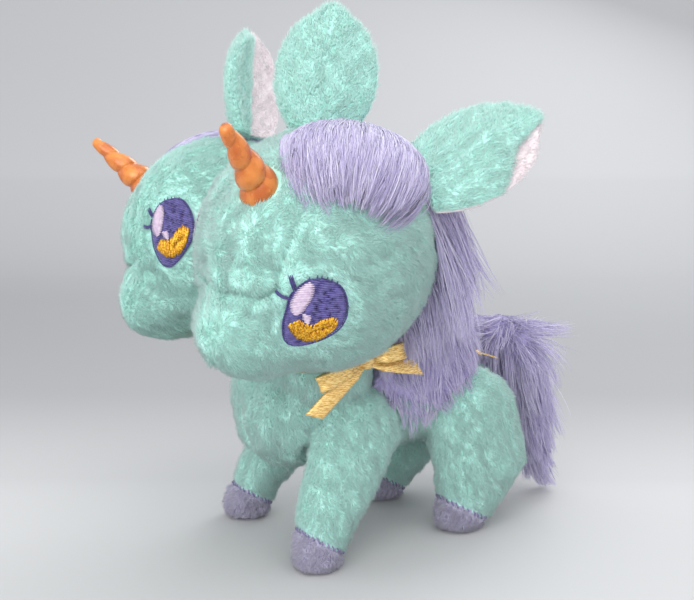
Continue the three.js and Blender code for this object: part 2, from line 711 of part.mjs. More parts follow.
// Lays a ribbon piece with its length along one direction and its broad side facing another.
function lay(geometry, from, towards, facing, faceAxis) {
  const x = vec(towards).sub(vec(from)).normalize();
  const y = vec(facing).addScaledVector(x, -vec(facing).dot(x)).normalize();
  const z = x.clone().cross(y);
  const basis = faceAxis === 'y'
    ? new THREE.Matrix4().makeBasis(x, y, z)
    : new THREE.Matrix4().makeBasis(x, z.clone().negate(), y);
  return geometry.applyMatrix4(basis).translate(...from);
}

// A piece's start point, a clearance away from the middle of the knot towards its far end.
function besideKnot(knot, towards, distance) {
  return vec(knot).add(vec(towards).sub(vec(knot)).normalize().multiplyScalar(distance)).toArray();
}

const neckRibbon = [torsoShape(GAP), headSweep, mirroredSolid(headSweep)]
  .reduce((carved, room) => carved.subtract(room), toSolid(collarShape()));
addPiece('neck_ribbon', toGeometry(neckRibbon), 'ribbon');

// One loop or end of a bow.
function addBowPiece(name, from, towards, bow, isLoop, facing) {
  const length = vec(towards).distanceTo(vec(from));
  const piece = isLoop ? bowLoop(length, bow) : bowEnd(length, bow.endWidth);
  addPiece(name, lay(piece, from, towards, facing, isLoop ? 'y' : 'z'), 'ribbon');
}

const NECK_BOW_FACING = [1, -0.15, -0.1];
const TAIL_BOW_FACING = [0, 0.2, 1];
addPiece('bow_knot', ellipsoid(BOW_KNOT, NECK_BOW.knot, 10, 6), 'ribbon');
const bowParts = {
  bow_loop_front: { towards: [43.5, -40, 66.5], loop: true },
  bow_loop_rear: { towards: [44.5, -7, 75], loop: true },
  bow_end_front: { towards: [41.5, -41, 58], loop: false },
  bow_end_rear: { towards: [42.5, -2, 68], loop: false },
};
const END_START = [BOW_KNOT[0] - 3.2, BOW_KNOT[1], BOW_KNOT[2] - 1.5];
for (const [name, { towards, loop }] of Object.entries(bowParts)) {
  const from = besideKnot(loop ? BOW_KNOT : END_START, towards, NECK_BOW_START);
  addBowPiece(name, from, towards, NECK_BOW, loop, NECK_BOW_FACING);
}

addPiece('tail_bow_knot', ellipsoid(TAIL_BOW_KNOT, TAIL_BOW.knot, 8, 6), 'ribbon');
const [knotX, knotY, knotZ] = TAIL_BOW_KNOT;
const tailBowParts = {
  tail_bow_loop_left: { towards: [knotX + 12, knotY + 1, knotZ - 0.5], loop: true },
  tail_bow_loop_right: { towards: [knotX - 12, knotY + 1, knotZ + 0.8], loop: true },
  tail_bow_end_left: { towards: [knotX + 11, knotY + 10, knotZ - 1.5], loop: false },
  tail_bow_end_right: { towards: [knotX - 10, knotY - 4.5, knotZ + 1.5], loop: false },
};
for (const [name, { towards, loop }] of Object.entries(tailBowParts)) {
  const start = loop ? TAIL_BOW_START.loop : TAIL_BOW_START.end;
  const from = besideKnot(TAIL_BOW_KNOT, towards, start);
  addBowPiece(name, from, towards, TAIL_BOW, loop, TAIL_BOW_FACING);
}

export default group;
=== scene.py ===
import math

import bmesh
import bpy
import numpy as np
from mathutils import Matrix, Vector


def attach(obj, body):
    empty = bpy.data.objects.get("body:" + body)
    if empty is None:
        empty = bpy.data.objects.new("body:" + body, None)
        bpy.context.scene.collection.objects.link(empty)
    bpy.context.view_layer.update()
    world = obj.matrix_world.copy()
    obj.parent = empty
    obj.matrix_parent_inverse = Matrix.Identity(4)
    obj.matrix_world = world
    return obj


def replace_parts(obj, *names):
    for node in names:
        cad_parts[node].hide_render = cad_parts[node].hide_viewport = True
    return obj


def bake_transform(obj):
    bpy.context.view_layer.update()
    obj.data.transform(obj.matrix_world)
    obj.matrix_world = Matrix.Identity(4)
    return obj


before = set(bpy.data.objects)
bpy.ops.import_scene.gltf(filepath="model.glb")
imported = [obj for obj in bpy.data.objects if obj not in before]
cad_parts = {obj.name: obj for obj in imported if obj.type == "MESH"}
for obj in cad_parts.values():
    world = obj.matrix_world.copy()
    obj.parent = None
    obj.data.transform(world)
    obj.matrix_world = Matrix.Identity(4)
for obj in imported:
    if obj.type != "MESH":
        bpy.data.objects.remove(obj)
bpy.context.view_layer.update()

MM = 0.001
rng = np.random.default_rng(20)

# ---- The animal's measures, in millimetres ---------------------------------------------------

BODY_SHIFT = np.array([0.0, -8.07, 0.0])     # body frame to row frame
HEAD_CENTRE = np.array([38.4, -38.5, 110.3])
HEAD_YAW, HEAD_ROLL = 11, 20
SKULL_HALF = np.array([37.6, 37.8, 37.8])
MUZZLE_CENTRE = np.array([5, -19.5, -18.5])
MUZZLE_HALF = np.array([18.5, 22, 16])
MUZZLE_PITCH = 33
MUZZLE_BLEND = 14
EYE_SIDES = {"outer": 54, "inner": -49}
EYE_DOWN = 11
HORN_FOOT = np.array([1.8, -25.8, 19.8])
HORN_DIRECTION = np.array([0.1, -0.68, 0.72])
HORN_LENGTH, HORN_RADIUS, HORN_ROOT = 31, 7.4, 7
EARS = {
    "inner": {"foot": [-20.5, 8, 34.3], "tip": [-29.5, 10.8, 72.5], "face": [-0.66, 0.65, -0.38]},
    "outer": {"foot": [20, 17, 31], "tip": [32, 50, 57], "face": [-0.35, 0.6, -0.75]},
}
EAR_WIDTH, EAR_CUP = 33, 3.2
LEGS = {
    "front": {"pivot": [23, -15, 42], "reach": 17, "stride": 0, "hoof": (-33, 9.5, 33)},
    "hind": {"pivot": [21, 38, 41], "reach": 20, "stride": -8, "hoof": (31.5, 8.5, 30)},
}
FEET = {"front": (30, -34), "hind": (23, 32)}
# Hairs of the pile per mm2.
HEAD_DENSITY = 8.0
BODY_DENSITY = 7.5
HOOF_DENSITY = 5.0    # on top of the body's
SIDES = {"left": 1, "right": -1}
LABELS = {side: label for label, side in SIDES.items()}


def turn(axis, degrees):
    c, s = math.cos(math.radians(degrees)), math.sin(math.radians(degrees))
    rows = {
        "x": [[1, 0, 0], [0, c, -s], [0, s, c]],
        "y": [[c, 0, s], [0, 1, 0], [-s, 0, c]],
        "z": [[c, -s, 0], [s, c, 0], [0, 0, 1]],
    }
    return np.array(rows[axis])


def unit(v):
    v = np.asarray(v, float)
    return v / np.maximum(np.linalg.norm(v, axis=-1, keepdims=True), 1e-12)


def smooth_step(low, high, x):
    t = np.clip((x - low) / (high - low), 0, 1)
    return t * t * (3 - 2 * t)


HEAD_TURN = turn("z", HEAD_YAW) @ turn("y", HEAD_ROLL)


def head_to_body(points):
    """Left head's own frame to the body frame, in millimetres."""
    return np.asarray(points, float) @ HEAD_TURN.T + HEAD_CENTRE


def body_to_head(points):
    return (np.asarray(points, float) - HEAD_CENTRE) @ HEAD_TURN


def placed(points, side=1):
    """Body frame millimetres to row frame metres, on one side."""
    return (np.asarray(points, float) * [side, 1, 1] + BODY_SHIFT) * MM


def unplaced(points):
    return np.asarray(points, float) / MM - BODY_SHIFT


def waves(points, size, seed, count=7):
    """Smooth pseudo-random field from -1 to 1 that varies over about one size."""
    r = np.random.default_rng(seed)
    total = np.zeros(len(points))
    for _ in range(count):
        w = unit(r.normal(size=3)) * r.uniform(0.6, 1.5) * 2 * math.pi / size
        total += np.sin(points @ w + r.uniform(0, 2 * math.pi))
    return total / math.sqrt(count) / 1.4


# ---- Materials -------------------------------------------------------------------------------

def linear(hex_colour):
    out = []
    for i in (1, 3, 5):
        c = int(hex_colour[i:i + 2], 16) / 255
        out.append(c / 12.92 if c <= 0.04045 else ((c + 0.055) / 1.055) ** 2.4)
    return (*out, 1.0)


def plain(name, colour, roughness=0.7, **sockets):
    """A material with the same values all over: one strand tone of a pile."""
    m = bpy.data.materials.new(name)
    m.use_nodes = True
    p = m.node_tree.nodes["Principled BSDF"]
    p.inputs["Base Color"].default_value = linear(colour)
    p.inputs["Roughness"].default_value = roughness
    for key, value in sockets.items():
        p.inputs[key.replace("_", " ")].default_value = value
    m.diffuse_color = linear(colour)
    return m


def grained(name, dark, light, roughness, size, bump=0.3, depth=0.0003, stretch=(1, 1, 1),
            rough_swing=0.15, detail=6, **sockets):
    """A material whose colour, roughness and height follow noise of one size in metres."""
    m = plain(name, light, roughness, **sockets)
    tree = m.node_tree
    p = tree.nodes["Principled BSDF"]
    place = tree.nodes.new("ShaderNodeTexCoord")
    scale = tree.nodes.new("ShaderNodeMapping")
    scale.inputs["Scale"].default_value = [s / size for s in stretch]
    noise = tree.nodes.new("ShaderNodeTexNoise")
    noise.inputs["Scale"].default_value = 1.0
    noise.inputs["Detail"].default_value = detail
    ramp = tree.nodes.new("ShaderNodeValToRGB")
    ramp.color_ramp.elements[0].position = 0.35
    ramp.color_ramp.elements[0].color = linear(dark)
    ramp.color_ramp.elements[1].position = 0.65
    ramp.color_ramp.elements[1].color = linear(light)
    rough = tree.nodes.new("ShaderNodeMapRange")
    rough.inputs["To Min"].default_value = roughness - rough_swing
    rough.inputs["To Max"].default_value = min(1, roughness + rough_swing)
    height = tree.nodes.new("ShaderNodeBump")
    height.inputs["Strength"].default_value = bump
    height.inputs["Distance"].default_value = depth
    link = tree.links.new
    link(place.outputs["Object"], scale.inputs["Vector"])
    link(scale.outputs["Vector"], noise.inputs["Vector"])
    link(noise.outputs["Fac"], ramp.inputs["Fac"])
    link(noise.outputs["Fac"], rough.inputs["Value"])
    link(noise.outputs["Fac"], height.inputs["Height"])
    link(ramp.outputs["Color"], p.inputs["Base Color"])
    link(rough.outputs["Result"], p.inputs["Roughness"])
    link(height.outputs["Normal"], p.inputs["Normal"])
    return m


def tones(name, colours, roughness=0.75, **sockets):
    return [plain(f"{name}_{i}", c, roughness, **sockets) for i, c in enumerate(colours)]


MINT_SKIN = grained("mint_backing", "#AEE6DA", "#C6F4EB", 0.9, 0.004, stretch=(1, 1, 0.5),
                    Sheen_Weight=0.4, Sheen_Roughness=0.4)
MINT = tones("mint_pile", ["#B4E0D6", "#BCE8DF", "#C2EEE6", "#C8F3EC", "#D0F8F2"], 0.6,
             Sheen_Weight=0.35, Sheen_Roughness=0.4)
HOOF_SKIN = grained("hoof_backing", "#A29DBC", "#BFBAD4", 0.9, 0.003, Sheen_Weight=0.3)
HOOF = tones("hoof_pile", ["#9690B4", "#ABA6C4", "#BBB7D0", "#CBC8DC", "#DCDAE8"], 0.6,
             Sheen_Weight=0.3)
LINING_SKIN = grained("lining_backing", "#E6D6DC", "#F8EFF2", 0.9, 0.004, Sheen_Weight=0.3)
LINING = tones("lining_pile", ["#EBDDE2", "#F5EBEE", "#FBF4F6", "#FFFBFC"], 0.6, Sheen_Weight=0.3)
LILAC_SKIN = grained("lilac_backing", "#A79DCB", "#BDB4DC", 0.85, 0.003, stretch=(3, 3, 0.6),
                     Sheen_Weight=0.2)
LILAC = tones("lilac_hair", ["#ADA3D0", "#B9B0D9", "#C4BCE0", "#CFC8E7", "#DAD5ED", "#E6E2F4"],
              0.5, Sheen_Weight=0.3)
HORN = grained("horn_resin", "#C2621F", "#E58F3E", 0.28, 0.006, bump=0.12, depth=0.0002,
               rough_swing=0.08, detail=3, Coat_Weight=0.5, Coat_Roughness=0.18,
               Subsurface_Weight=0.12, Subsurface_Scale=0.003, Metallic=0.12)
THREAD_IRIS = grained("iris_thread", "#453E7C", "#675FA3", 0.42, 0.0012, bump=0.5,
                      depth=0.0001, Sheen_Weight=0.2)
THREAD_RIM = grained("iris_rim_thread", "#332D62", "#4A4284", 0.45, 0.0012, bump=0.5,
                     depth=0.0001)
THREAD_LIGHT = grained("highlight_thread", "#C3AEC8", "#DDCCDE", 0.42, 0.0012, bump=0.5,
                       depth=0.0001, Sheen_Weight=0.2)
THREAD_GOLD = grained("gold_thread", "#A9620A", "#FFC93A", 0.25, 0.0006, bump=1.0,
                      depth=0.0002, Metallic=0.55)
RIBBON = grained("ribbon_satin", "#C8963F", "#F8DA94", 0.28, 0.0016, bump=0.35, depth=0.00008,
                 stretch=(1, 1, 6), Metallic=0.4, Sheen_Weight=0.3, Anisotropic=0.5)
SEAM_THREAD = grained("seam_thread", "#6C6690", "#8A84A8", 0.6, 0.001)

# ---- Mesh helpers ----------------------------------------------------------------------------

def mesh_object(name, points, faces, materials, tone=None):
    """An object from points in metres and faces of one size."""
    mesh = bpy.data.meshes.new(name)
    faces = np.asarray(faces, np.int32)
    count, corners = faces.shape
    mesh.vertices.add(len(points))
    mesh.vertices.foreach_set("co", np.ascontiguousarray(points, np.float32).ravel())
    mesh.loops.add(count * corners)
    mesh.loops.foreach_set("vertex_index", faces.ravel())
    mesh.polygons.add(count)
    mesh.polygons.foreach_set("loop_start", np.arange(count, dtype=np.int32) * corners)
    mesh.update(calc_edges=True)
    for m in materials:
        mesh.materials.append(m)
    if tone is not None:
        mesh.polygons.foreach_set("material_index", np.asarray(tone, np.int32))
    mesh.polygons.foreach_set("use_smooth", np.full(count, True))
    mesh.update()
    obj = bpy.data.objects.new(name, mesh)
    bpy.context.scene.collection.objects.link(obj)
    return obj


def node_arrays(name):
    """Points in metres and triangles of a CAD node."""
    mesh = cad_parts[name].data
    points = np.empty(len(mesh.vertices) * 3, np.float32)
    mesh.vertices.foreach_get("co", points)
    mesh.calc_loop_triangles()
    triangles = np.empty(len(mesh.loop_triangles) * 3, np.int32)
    mesh.loop_triangles.foreach_get("vertices", triangles)
    return points.reshape(-1, 3).astype(float), triangles.reshape(-1, 3)


def ball(centre, half, subdivisions=3):
    """Points in millimetres and triangles of an ellipsoid."""
    bm = bmesh.new()
    bmesh.ops.create_icosphere(bm, subdivisions=subdivisions, radius=1)
    points = np.array([v.co for v in bm.verts])
    faces = np.array([[v.index for v in f.verts] for f in bm.faces])
    bm.free()
    return points * half + centre, faces


def fused(parts, voxel):
    """One closed quad surface round several solids: points in metres and quads."""
    offset, all_points, all_faces = 0, [], []
    for points, faces in parts:
        all_points.append(points)
        all_faces.append(faces + offset)
        offset += len(points)
    rough = mesh_object("fusing", np.vstack(all_points), np.vstack(all_faces), [])
    remesh = rough.modifiers.new("remesh", "REMESH")
    remesh.mode = "VOXEL"
    remesh.voxel_size = voxel
    graph = bpy.context.evaluated_depsgraph_get()
    mesh = bpy.data.meshes.new_from_object(rough.evaluated_get(graph))
    points = np.array([v.co for v in mesh.vertices])
    quads = np.array([list(f.vertices) for f in mesh.polygons if len(f.vertices) == 4])
    bpy.data.meshes.remove(mesh)
    bpy.data.objects.remove(rough)
    return points, quads


def edges_of(faces):
    k = faces.shape[1]
    pairs = np.vstack([faces[:, [i, (i + 1) % k]] for i in range(k)])
    return np.unique(np.sort(pairs, axis=1), axis=0)


def averaged(points, edges, rounds, inward=0.5, outward=-0.52):
    """Taubin smoothing: removes facets and keeps the volume."""
    a, b = edges[:, 0], edges[:, 1]
    n = len(points)
    weight = np.bincount(np.concatenate([a, b]), minlength=n)[:, None]
    points = points.copy()
    for step in range(rounds):
        mean = np.stack([
            np.bincount(np.concatenate([a, b]), np.concatenate([points[b, k], points[a, k]]), n)
            for k in range(3)], axis=1) / weight
        points += (inward if step % 2 == 0 else outward) * (mean - points)
    return points


def normals_of(points, faces):
    a, b, c = points[faces[:, 0]], points[faces[:, 1]], points[faces[:, 2]]
    flat = np.cross(b - a, c - a)
    if faces.shape[1] == 4:
        flat = np.cross(points[faces[:, 2]] - a, points[faces[:, 3]] - b)
    out = np.zeros_like(points)
    for k in range(faces.shape[1]):
        for axis in range(3):
            out[:, axis] += np.bincount(faces[:, k], flat[:, axis], len(points))
    return unit(out)


def scattered(points, faces, per_mm2):
    """Random places on a surface in millimetres: points, normals and their faces."""
    normals = normals_of(points, faces)
    if faces.shape[1] == 4:
        owner = np.tile(np.arange(len(faces)), 2)
        faces = np.vstack([faces[:, [0, 1, 2]], faces[:, [0, 2, 3]]])
    else:
        owner = np.arange(len(faces))
    a, b, c = (points[faces[:, k]] for k in range(3))
    area = np.linalg.norm(np.cross(b - a, c - a), axis=1) / 2
    count = int(area.sum() * per_mm2)
    pick = rng.choice(len(faces), count, p=area / area.sum())
    u, v = rng.random(count), rng.random(count)
    flip = u + v > 1
    u[flip], v[flip] = 1 - u[flip], 1 - v[flip]
    w = np.stack([1 - u - v, u, v], axis=1)
    place = sum(w[:, k:k + 1] * points[faces[pick, k]] for k in range(3))
    normal = unit(sum(w[:, k:k + 1] * normals[faces[pick, k]] for k in range(3)))
    return place, normal, owner[pick]


def tangent(direction, normal):
    return unit(direction - (direction * normal).sum(-1, keepdims=True) * normal)


# ---- Pile ------------------------------------------------------------------------------------

MOST_FACES = 190000


def spikes(name, roots, directions, lengths, radii, tone, materials, side=1):
    """Short straight hairs as closed three-sided spikes, split into several objects if many."""
    made = []
    count = len(roots)
    parts = max(1, math.ceil(count * 4 / MOST_FACES))
    for part in range(parts):
        pick = slice(part, count, parts)
        r, d, n = roots[pick], directions[pick], len(roots[pick])
        s1 = unit(np.cross(d, rng.normal(size=(n, 3))))
        s2 = np.cross(d, s1)
        ring = []
        for angle in (0, 2 * math.pi / 3, 4 * math.pi / 3):
            ring.append(r + radii[pick][:, None] * (math.cos(angle) * s1 + math.sin(angle) * s2))
        tips = r + d * lengths[pick][:, None]
        points = np.stack([*ring, tips], axis=1).reshape(-1, 3)
        base = np.arange(n)[:, None] * 4
        faces = np.stack([base + f for f in
                          ([0, 1, 3], [1, 2, 3], [2, 0, 3], [0, 2, 1])], axis=1).reshape(-1, 3)
        if side < 0:
            faces = faces[:, ::-1]
        label = name if parts == 1 else f"{name}_{part + 1}"
        made.append(mesh_object(label, placed(points, side), faces, materials,
                                np.repeat(tone[pick], 4)))
    return made


def pile(points, normals, comb, length, lean, clump_size, seed, swirl=0.5):
    """Root, direction and length of each hair: it leans along the comb and parts into tufts."""
    n = len(points)
    drift = np.stack([waves(points, clump_size, seed + k) for k in range(3)], axis=1)
    fine = np.stack([waves(points, clump_size * 0.38, seed + 10 + k) for k in range(3)], axis=1)
    along = tangent(comb + swirl * drift + 0.45 * swirl * fine + rng.normal(size=(n, 3)) * 0.14,
                    normals)
    slope = lean * (0.8 + 0.3 * rng.random(n) + 0.15 * fine[:, 0])[:, None]
    direction = unit(normals * np.cos(slope) + along * np.sin(slope))
    lengths = length * (0.75 + 0.4 * rng.random(n)) * (1 + 0.18 * drift[:, 0])
    return points - normals * 0.25, direction, lengths


def hair_radii(count):
    return 0.10 + 0.05 * rng.random(count)


def ride_all(pieces, body):
    for piece in pieces:
        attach(piece, body)


def tone_of(points, levels, seed, size=5.0):
    """A tone for each hair, mostly random, with lighter and darker patches painted in where the
    pile would catch or lose the light.
    """
    n = len(points)
    level = levels / 2 + 0.35 * waves(points, size, seed) + rng.normal(size=n) * 0.6 - 0.5
    return np.clip(np.round(level), 0, levels - 1).astype(int)


def locks(name, paths, radii, tone, materials, side=1):
    """Long hairs as closed tapering three-sided tubes along paths of shape (count, steps, 3)."""
    made = []
    count, steps, _ = paths.shape
    per_hair = 6 * (steps - 2) + 4
    parts = max(1, math.ceil(count * per_hair / MOST_FACES))
    taper = np.linspace(1, 0, steps) ** 0.6
    for part in range(parts):
        p = paths[part::parts]
        n = len(p)
        d = unit(np.gradient(p, axis=1))
        s1 = unit(np.cross(d, rng.normal(size=(n, 1, 3))))
        s2 = np.cross(d, s1)
        r = radii[part::parts][:, None, None] * taper[None, :, None]
        ring = np.stack([p + r * (math.cos(a) * s1 + math.sin(a) * s2)
                         for a in (0, 2 * math.pi / 3, 4 * math.pi / 3)], axis=2)
        points = np.concatenate([ring[:, :-1].reshape(n, -1, 3), p[:, -1:]], axis=1)
        stride = 3 * (steps - 1) + 1
        faces = [[0, 2, 1]]
        for row in range(steps - 2):
            for k in range(3):
                a, b = 3 * row + k, 3 * row + (k + 1) % 3
                faces += [[a, b, b + 3], [a, b + 3, a + 3]]
        last = 3 * (steps - 2)
        faces += [[last + k, last + (k + 1) % 3, stride - 1] for k in range(3)]
        faces = np.array(faces)
        every = (faces[None] + (np.arange(n) * stride)[:, None, None]).reshape(-1, 3)
        if side < 0:
            every = every[:, ::-1]
        label = name if parts == 1 else f"{name}_{part + 1}"
        made.append(mesh_object(label, placed(points.reshape(-1, 3), side), every, materials,
                                np.repeat(tone[part::parts], len(faces))))
    return made


def grown(roots, normals, flow, lengths, steps, lift, settle, clump, seed, stray, keep_out):
    """Paths of long hairs that rise from their roots, lie down along a flow and form locks."""
    n = len(roots)
    p = roots.copy()
    d = unit(normals * lift + flow(p) + rng.normal(size=(n, 3)) * 0.15)
    path = [p]
    bend = rng.normal(size=(n, 3)) * stray
    for step in range(steps - 1):
        target = flow(p) + bend
        d = unit(d * (1 - settle) + target * settle)
        p = p + d * (lengths / (steps - 1))[:, None]
        if keep_out is not None:
            p = keep_out(p)
        path.append(p)
    paths = np.stack(path, axis=1)
    guides = np.random.default_rng(seed).choice(n, max(2, n // clump), replace=False)
    best, near = np.full(n, np.inf), np.zeros(n, int)
    for g in guides:
        gap = ((roots - roots[g]) ** 2).sum(1)
        closer = gap < best
        best[closer], near[closer] = gap[closer], g
    pull = np.linspace(0, 1, steps)[None, :, None] ** 1.3
    strength = (0.35 + 0.5 * np.random.default_rng(seed + 1).random(n))[:, None, None]
    shift = paths[near] - paths
    return paths + shift * pull * strength


# ---- Heads -----------------------------------------------------------------------------------

def ray_exit(directions, centre, half, pitch):
    tilt = turn("x", -pitch)
    r = (directions @ tilt.T) / half
    s = (-np.asarray(centre, float) @ tilt.T) / half
    b = r @ s
    rr = (r * r).sum(-1)
    root = b * b - rr * (s @ s - 1)
    return np.where(root > 0, (np.sqrt(np.maximum(root, 0)) - b) / rr, 0)


def head_radius(directions):
    skull = ray_exit(directions, np.zeros(3), SKULL_HALF, 0)
    muzzle = np.maximum(0, ray_exit(directions, MUZZLE_CENTRE, MUZZLE_HALF, MUZZLE_PITCH))
    return (skull ** MUZZLE_BLEND + muzzle ** MUZZLE_BLEND) ** (1 / MUZZLE_BLEND)


def resampled(line, spacing):
    line = np.asarray(line, float)
    reach = np.concatenate([[0], np.cumsum(np.linalg.norm(np.diff(line, axis=0), axis=1))])
    count = max(2, int(reach[-1] / spacing))
    at = np.linspace(0, reach[-1], count)
    return np.stack([np.interp(at, reach, line[:, k]) for k in range(line.shape[1])], axis=1)


# Seams of the head in its own frame: from the horn down to the eye, across the top of the
# muzzle, down the muzzle's end, and across the forehead on the inner side.
HEAD_SEAMS = {
    "brow": ([(13, -30, 24), (19.0, -27.8, 18.0), (20.4, -28.3, 14.4), (21.5, -30.0, 7.8),
              (21.5, -30.9, 2.9), (21.4, -31.1, -1.3)], 0.9),
    "crease": ([(-9, -35.5, -10), (1.2, -36.9, -10.2), (6.2, -36.6, -8.6), (9.5, -36.0, -7.4),
                (13.6, -34.7, -6.6), (16.7, -33.3, -6.3), (19.4, -32.2, -3.7),
                (22.0, -30.7, -0.6)], 1.5),
    "muzzle": ([(-1.8, -37.6, -14.2), (2.9, -39.4, -19.0), (5.6, -40.0, -22.3),
                (7.6, -39.6, -26.0), (7.8, -37.7, -30.6), (6, -32, -36)], 0.8),
    "forehead": ([(-10, -27, 28), (-16.5, -27.5, 21), (-18.7, -25.6, 19), (-17, -29.0, 16.5),
                  (-15.8, -30.3, 13.0), (-14, -31.4, 9)], 0.8),
}
SEAM_LINES = {k: (resampled(v, 0.8), depth) for k, (v, depth) in HEAD_SEAMS.items()}


def seam_gap(points):
    """Depth of the seams' furrows at points, and the distance to the nearest seam."""
    nearest = np.full(len(points), 99.0)
    depth = np.zeros(len(points))
    for line, deep in SEAM_LINES.values():
        gap = np.full(len(points), 99.0)
        for spot in line:
            gap = np.minimum(gap, np.linalg.norm(points - spot, axis=1))
        depth = np.maximum(depth, deep * np.exp(-(gap / 1.5) ** 2))
        nearest = np.minimum(nearest, gap)
    return depth, nearest


def head_surface():
    points, faces = ball([0, 0, 0], [1, 1, 1], 7)
    directions = unit(points)
    points = directions * head_radius(directions)[:, None]
    near_face = points[:, 1] < -18
    depth = np.zeros(len(points))
    depth[near_face] = seam_gap(points[near_face])[0]
    soft = 0.35 * waves(points, 16, 3) + 0.16 * waves(points, 7, 4)
    points = points + directions * (soft - depth)[:, None]
    return points, faces


def eye_axes(place):
    return turn("z", EYE_SIDES[place]) @ turn("x", 90 + EYE_DOWN)


def on_head(flat, place, lift):
    """Points of an eye's flat drawing, front to the left, laid on the head."""
    axes = eye_axes(place)
    flat = np.asarray(flat, float)
    across = flat[:, 0] if place == "outer" else -flat[:, 0]
    start = across[:, None] * axes[:, 0] + flat[:, 1:2] * axes[:, 1]
    t = np.full(len(flat), 36.0)
    for _ in range(12):
        p = start + t[:, None] * axes[:, 2]
        reach = np.linalg.norm(p, axis=1)
        t += head_radius(p / reach[:, None]) - reach
    return p + unit(p) * np.broadcast_to(lift, len(flat))[:, None]


IRIS = [(-6.7, 8.5), (-5.0, 10.7), (-3.8, 12.0), (-2.4, 12.5), (-0.4, 12.9), (1.6, 12.9),
        (4.3, 12.5), (6.0, 11.6), (7.6, 9.4), (8.7, 6.8), (9.3, 3.1), (8.8, 0.1), (7.8, -2.1),
        (6.3, -4.0), (3.9, -6.2), (1.4, -8.1), (-1.1, -9.5), (-3.3, -10.1), (-5.4, -9.5),
        (-6.8, -7.8), (-7.7, -4.4), (-8.0, -2.2), (-7.9, 0.2), (-7.8, 2.5), (-7.9, 4.9),
        (-7.5, 6.9)]
SHINE = [(-3.0, 11.6), (-1.7, 11.0), (-1.4, 9.1), (-1.4, 7.6), (-2.0, 5.9), (-2.6, 4.1),
         (-3.0, 2.9), (-3.6, 1.9), (-4.6, 1.2), (-5.7, 1.2), (-6.5, 2.0), (-7.0, 3.5),
         (-7.1, 4.7), (-6.9, 5.8), (-6.4, 7.4), (-5.9, 8.9), (-5.0, 10.1), (-4.0, 11.2)]
SPARK = [(-3.2, 2.0), (-0.9, 2.3), (-0.5, 1.1), (-0.7, -0.8), (-1.8, -0.8), (-2.8, 0.4)]
GLINT = [(-6.1, -2.9), (-5.1, -1.2), (-3.5, -0.1), (-1.8, -0.9), (-0.1, -0.9), (1.1, -0.2),
         (2.3, 1.1), (3.9, 2.2), (5.5, 2.7), (6.9, 1.8), (7.2, 0.2), (6.5, -1.7), (5.0, -3.6),
         (3.9, -5.3), (2.0, -6.7), (-0.4, -7.4), (-2.6, -6.9), (-3.9, -6.1), (-5.2, -4.7)]
LASHES = [([(-6.6, 8.2), (-7.8, 10.1), (-8.8, 11.9)], 0.95),
          ([(-7.6, 5.4), (-9.6, 5.2), (-11.0, 5.7), (-11.9, 6.4)], 0.6)]


def inside(points, outline):
    """Which points lie inside a flat outline."""
    x, y = points[:, 0], points[:, 1]
    hit = np.zeros(len(points), bool)
    for (ax, ay), (bx, by) in zip(outline, outline[1:] + outline[:1]):
        if ay == by:
            continue
        crosses = (ay > y) != (by > y)
        hit ^= crosses & (x < (bx - ax) * (y - ay) / (by - ay) + ax)
    return hit


def spans(outline, angle, pitch):
    """Parallel stitches that fill an outline at an angle: pairs of end points."""
    c, s = math.cos(math.radians(angle)), math.sin(math.radians(angle))
    spin = np.array([[c, s], [-s, c]])
    flat = np.asarray(outline) @ spin.T
    low, high = flat[:, 1].min(), flat[:, 1].max()
    found = []
    for row in np.arange(low + pitch / 2, high, pitch):
        crossing = []
        for (ax, ay), (bx, by) in zip(flat, np.roll(flat, -1, axis=0)):
            if (ay > row) != (by > row):
                crossing.append(ax + (row - ay) / (by - ay) * (bx - ax))
        crossing.sort()
        for a, b in zip(crossing[::2], crossing[1::2]):
            if b - a > 0.3:
                found.append((np.array([a, row]) @ spin, np.array([b, row]) @ spin))
    return found


THREAD_FLAT = 0.75    # thickness over width of a thread


def threads(lines, radius, sides=6):
    """Closed rounded threads along polylines of (points, outward): points and triangles."""
    all_points, all_faces, offset = [], [], 0
    for line, out in lines:
        n = len(line)
        d = unit(np.gradient(line, axis=0))
        across = unit(np.cross(out, d))
        up = np.cross(d, across)
        shape = np.minimum(1, 3.2 * np.minimum(np.linspace(0.12, 1, n), np.linspace(1, 0.12, n)))
        angles = np.arange(sides) * 2 * math.pi / sides
        ring = (line[:, None] + radius * shape[:, None, None] * (
            np.cos(angles)[None, :, None] * across[:, None]
            + THREAD_FLAT * np.sin(angles)[None, :, None] * up[:, None]))
        points = np.concatenate([ring.reshape(-1, 3), line[:1], line[-1:]])
        faces = []
        for row in range(n - 1):
            for k in range(sides):
                a, b = row * sides + k, row * sides + (k + 1) % sides
                faces += [[a, b, b + sides], [a, b + sides, a + sides]]
        first, last = n * sides, n * sides + 1
        for k in range(sides):
            a, b = k, (k + 1) % sides
            faces += [[first, b, a], [last, a + (n - 1) * sides, b + (n - 1) * sides]]
        all_points.append(points)
        all_faces.append(np.array(faces) + offset)
        offset += len(points)
    return np.vstack(all_points), np.vstack(all_faces)


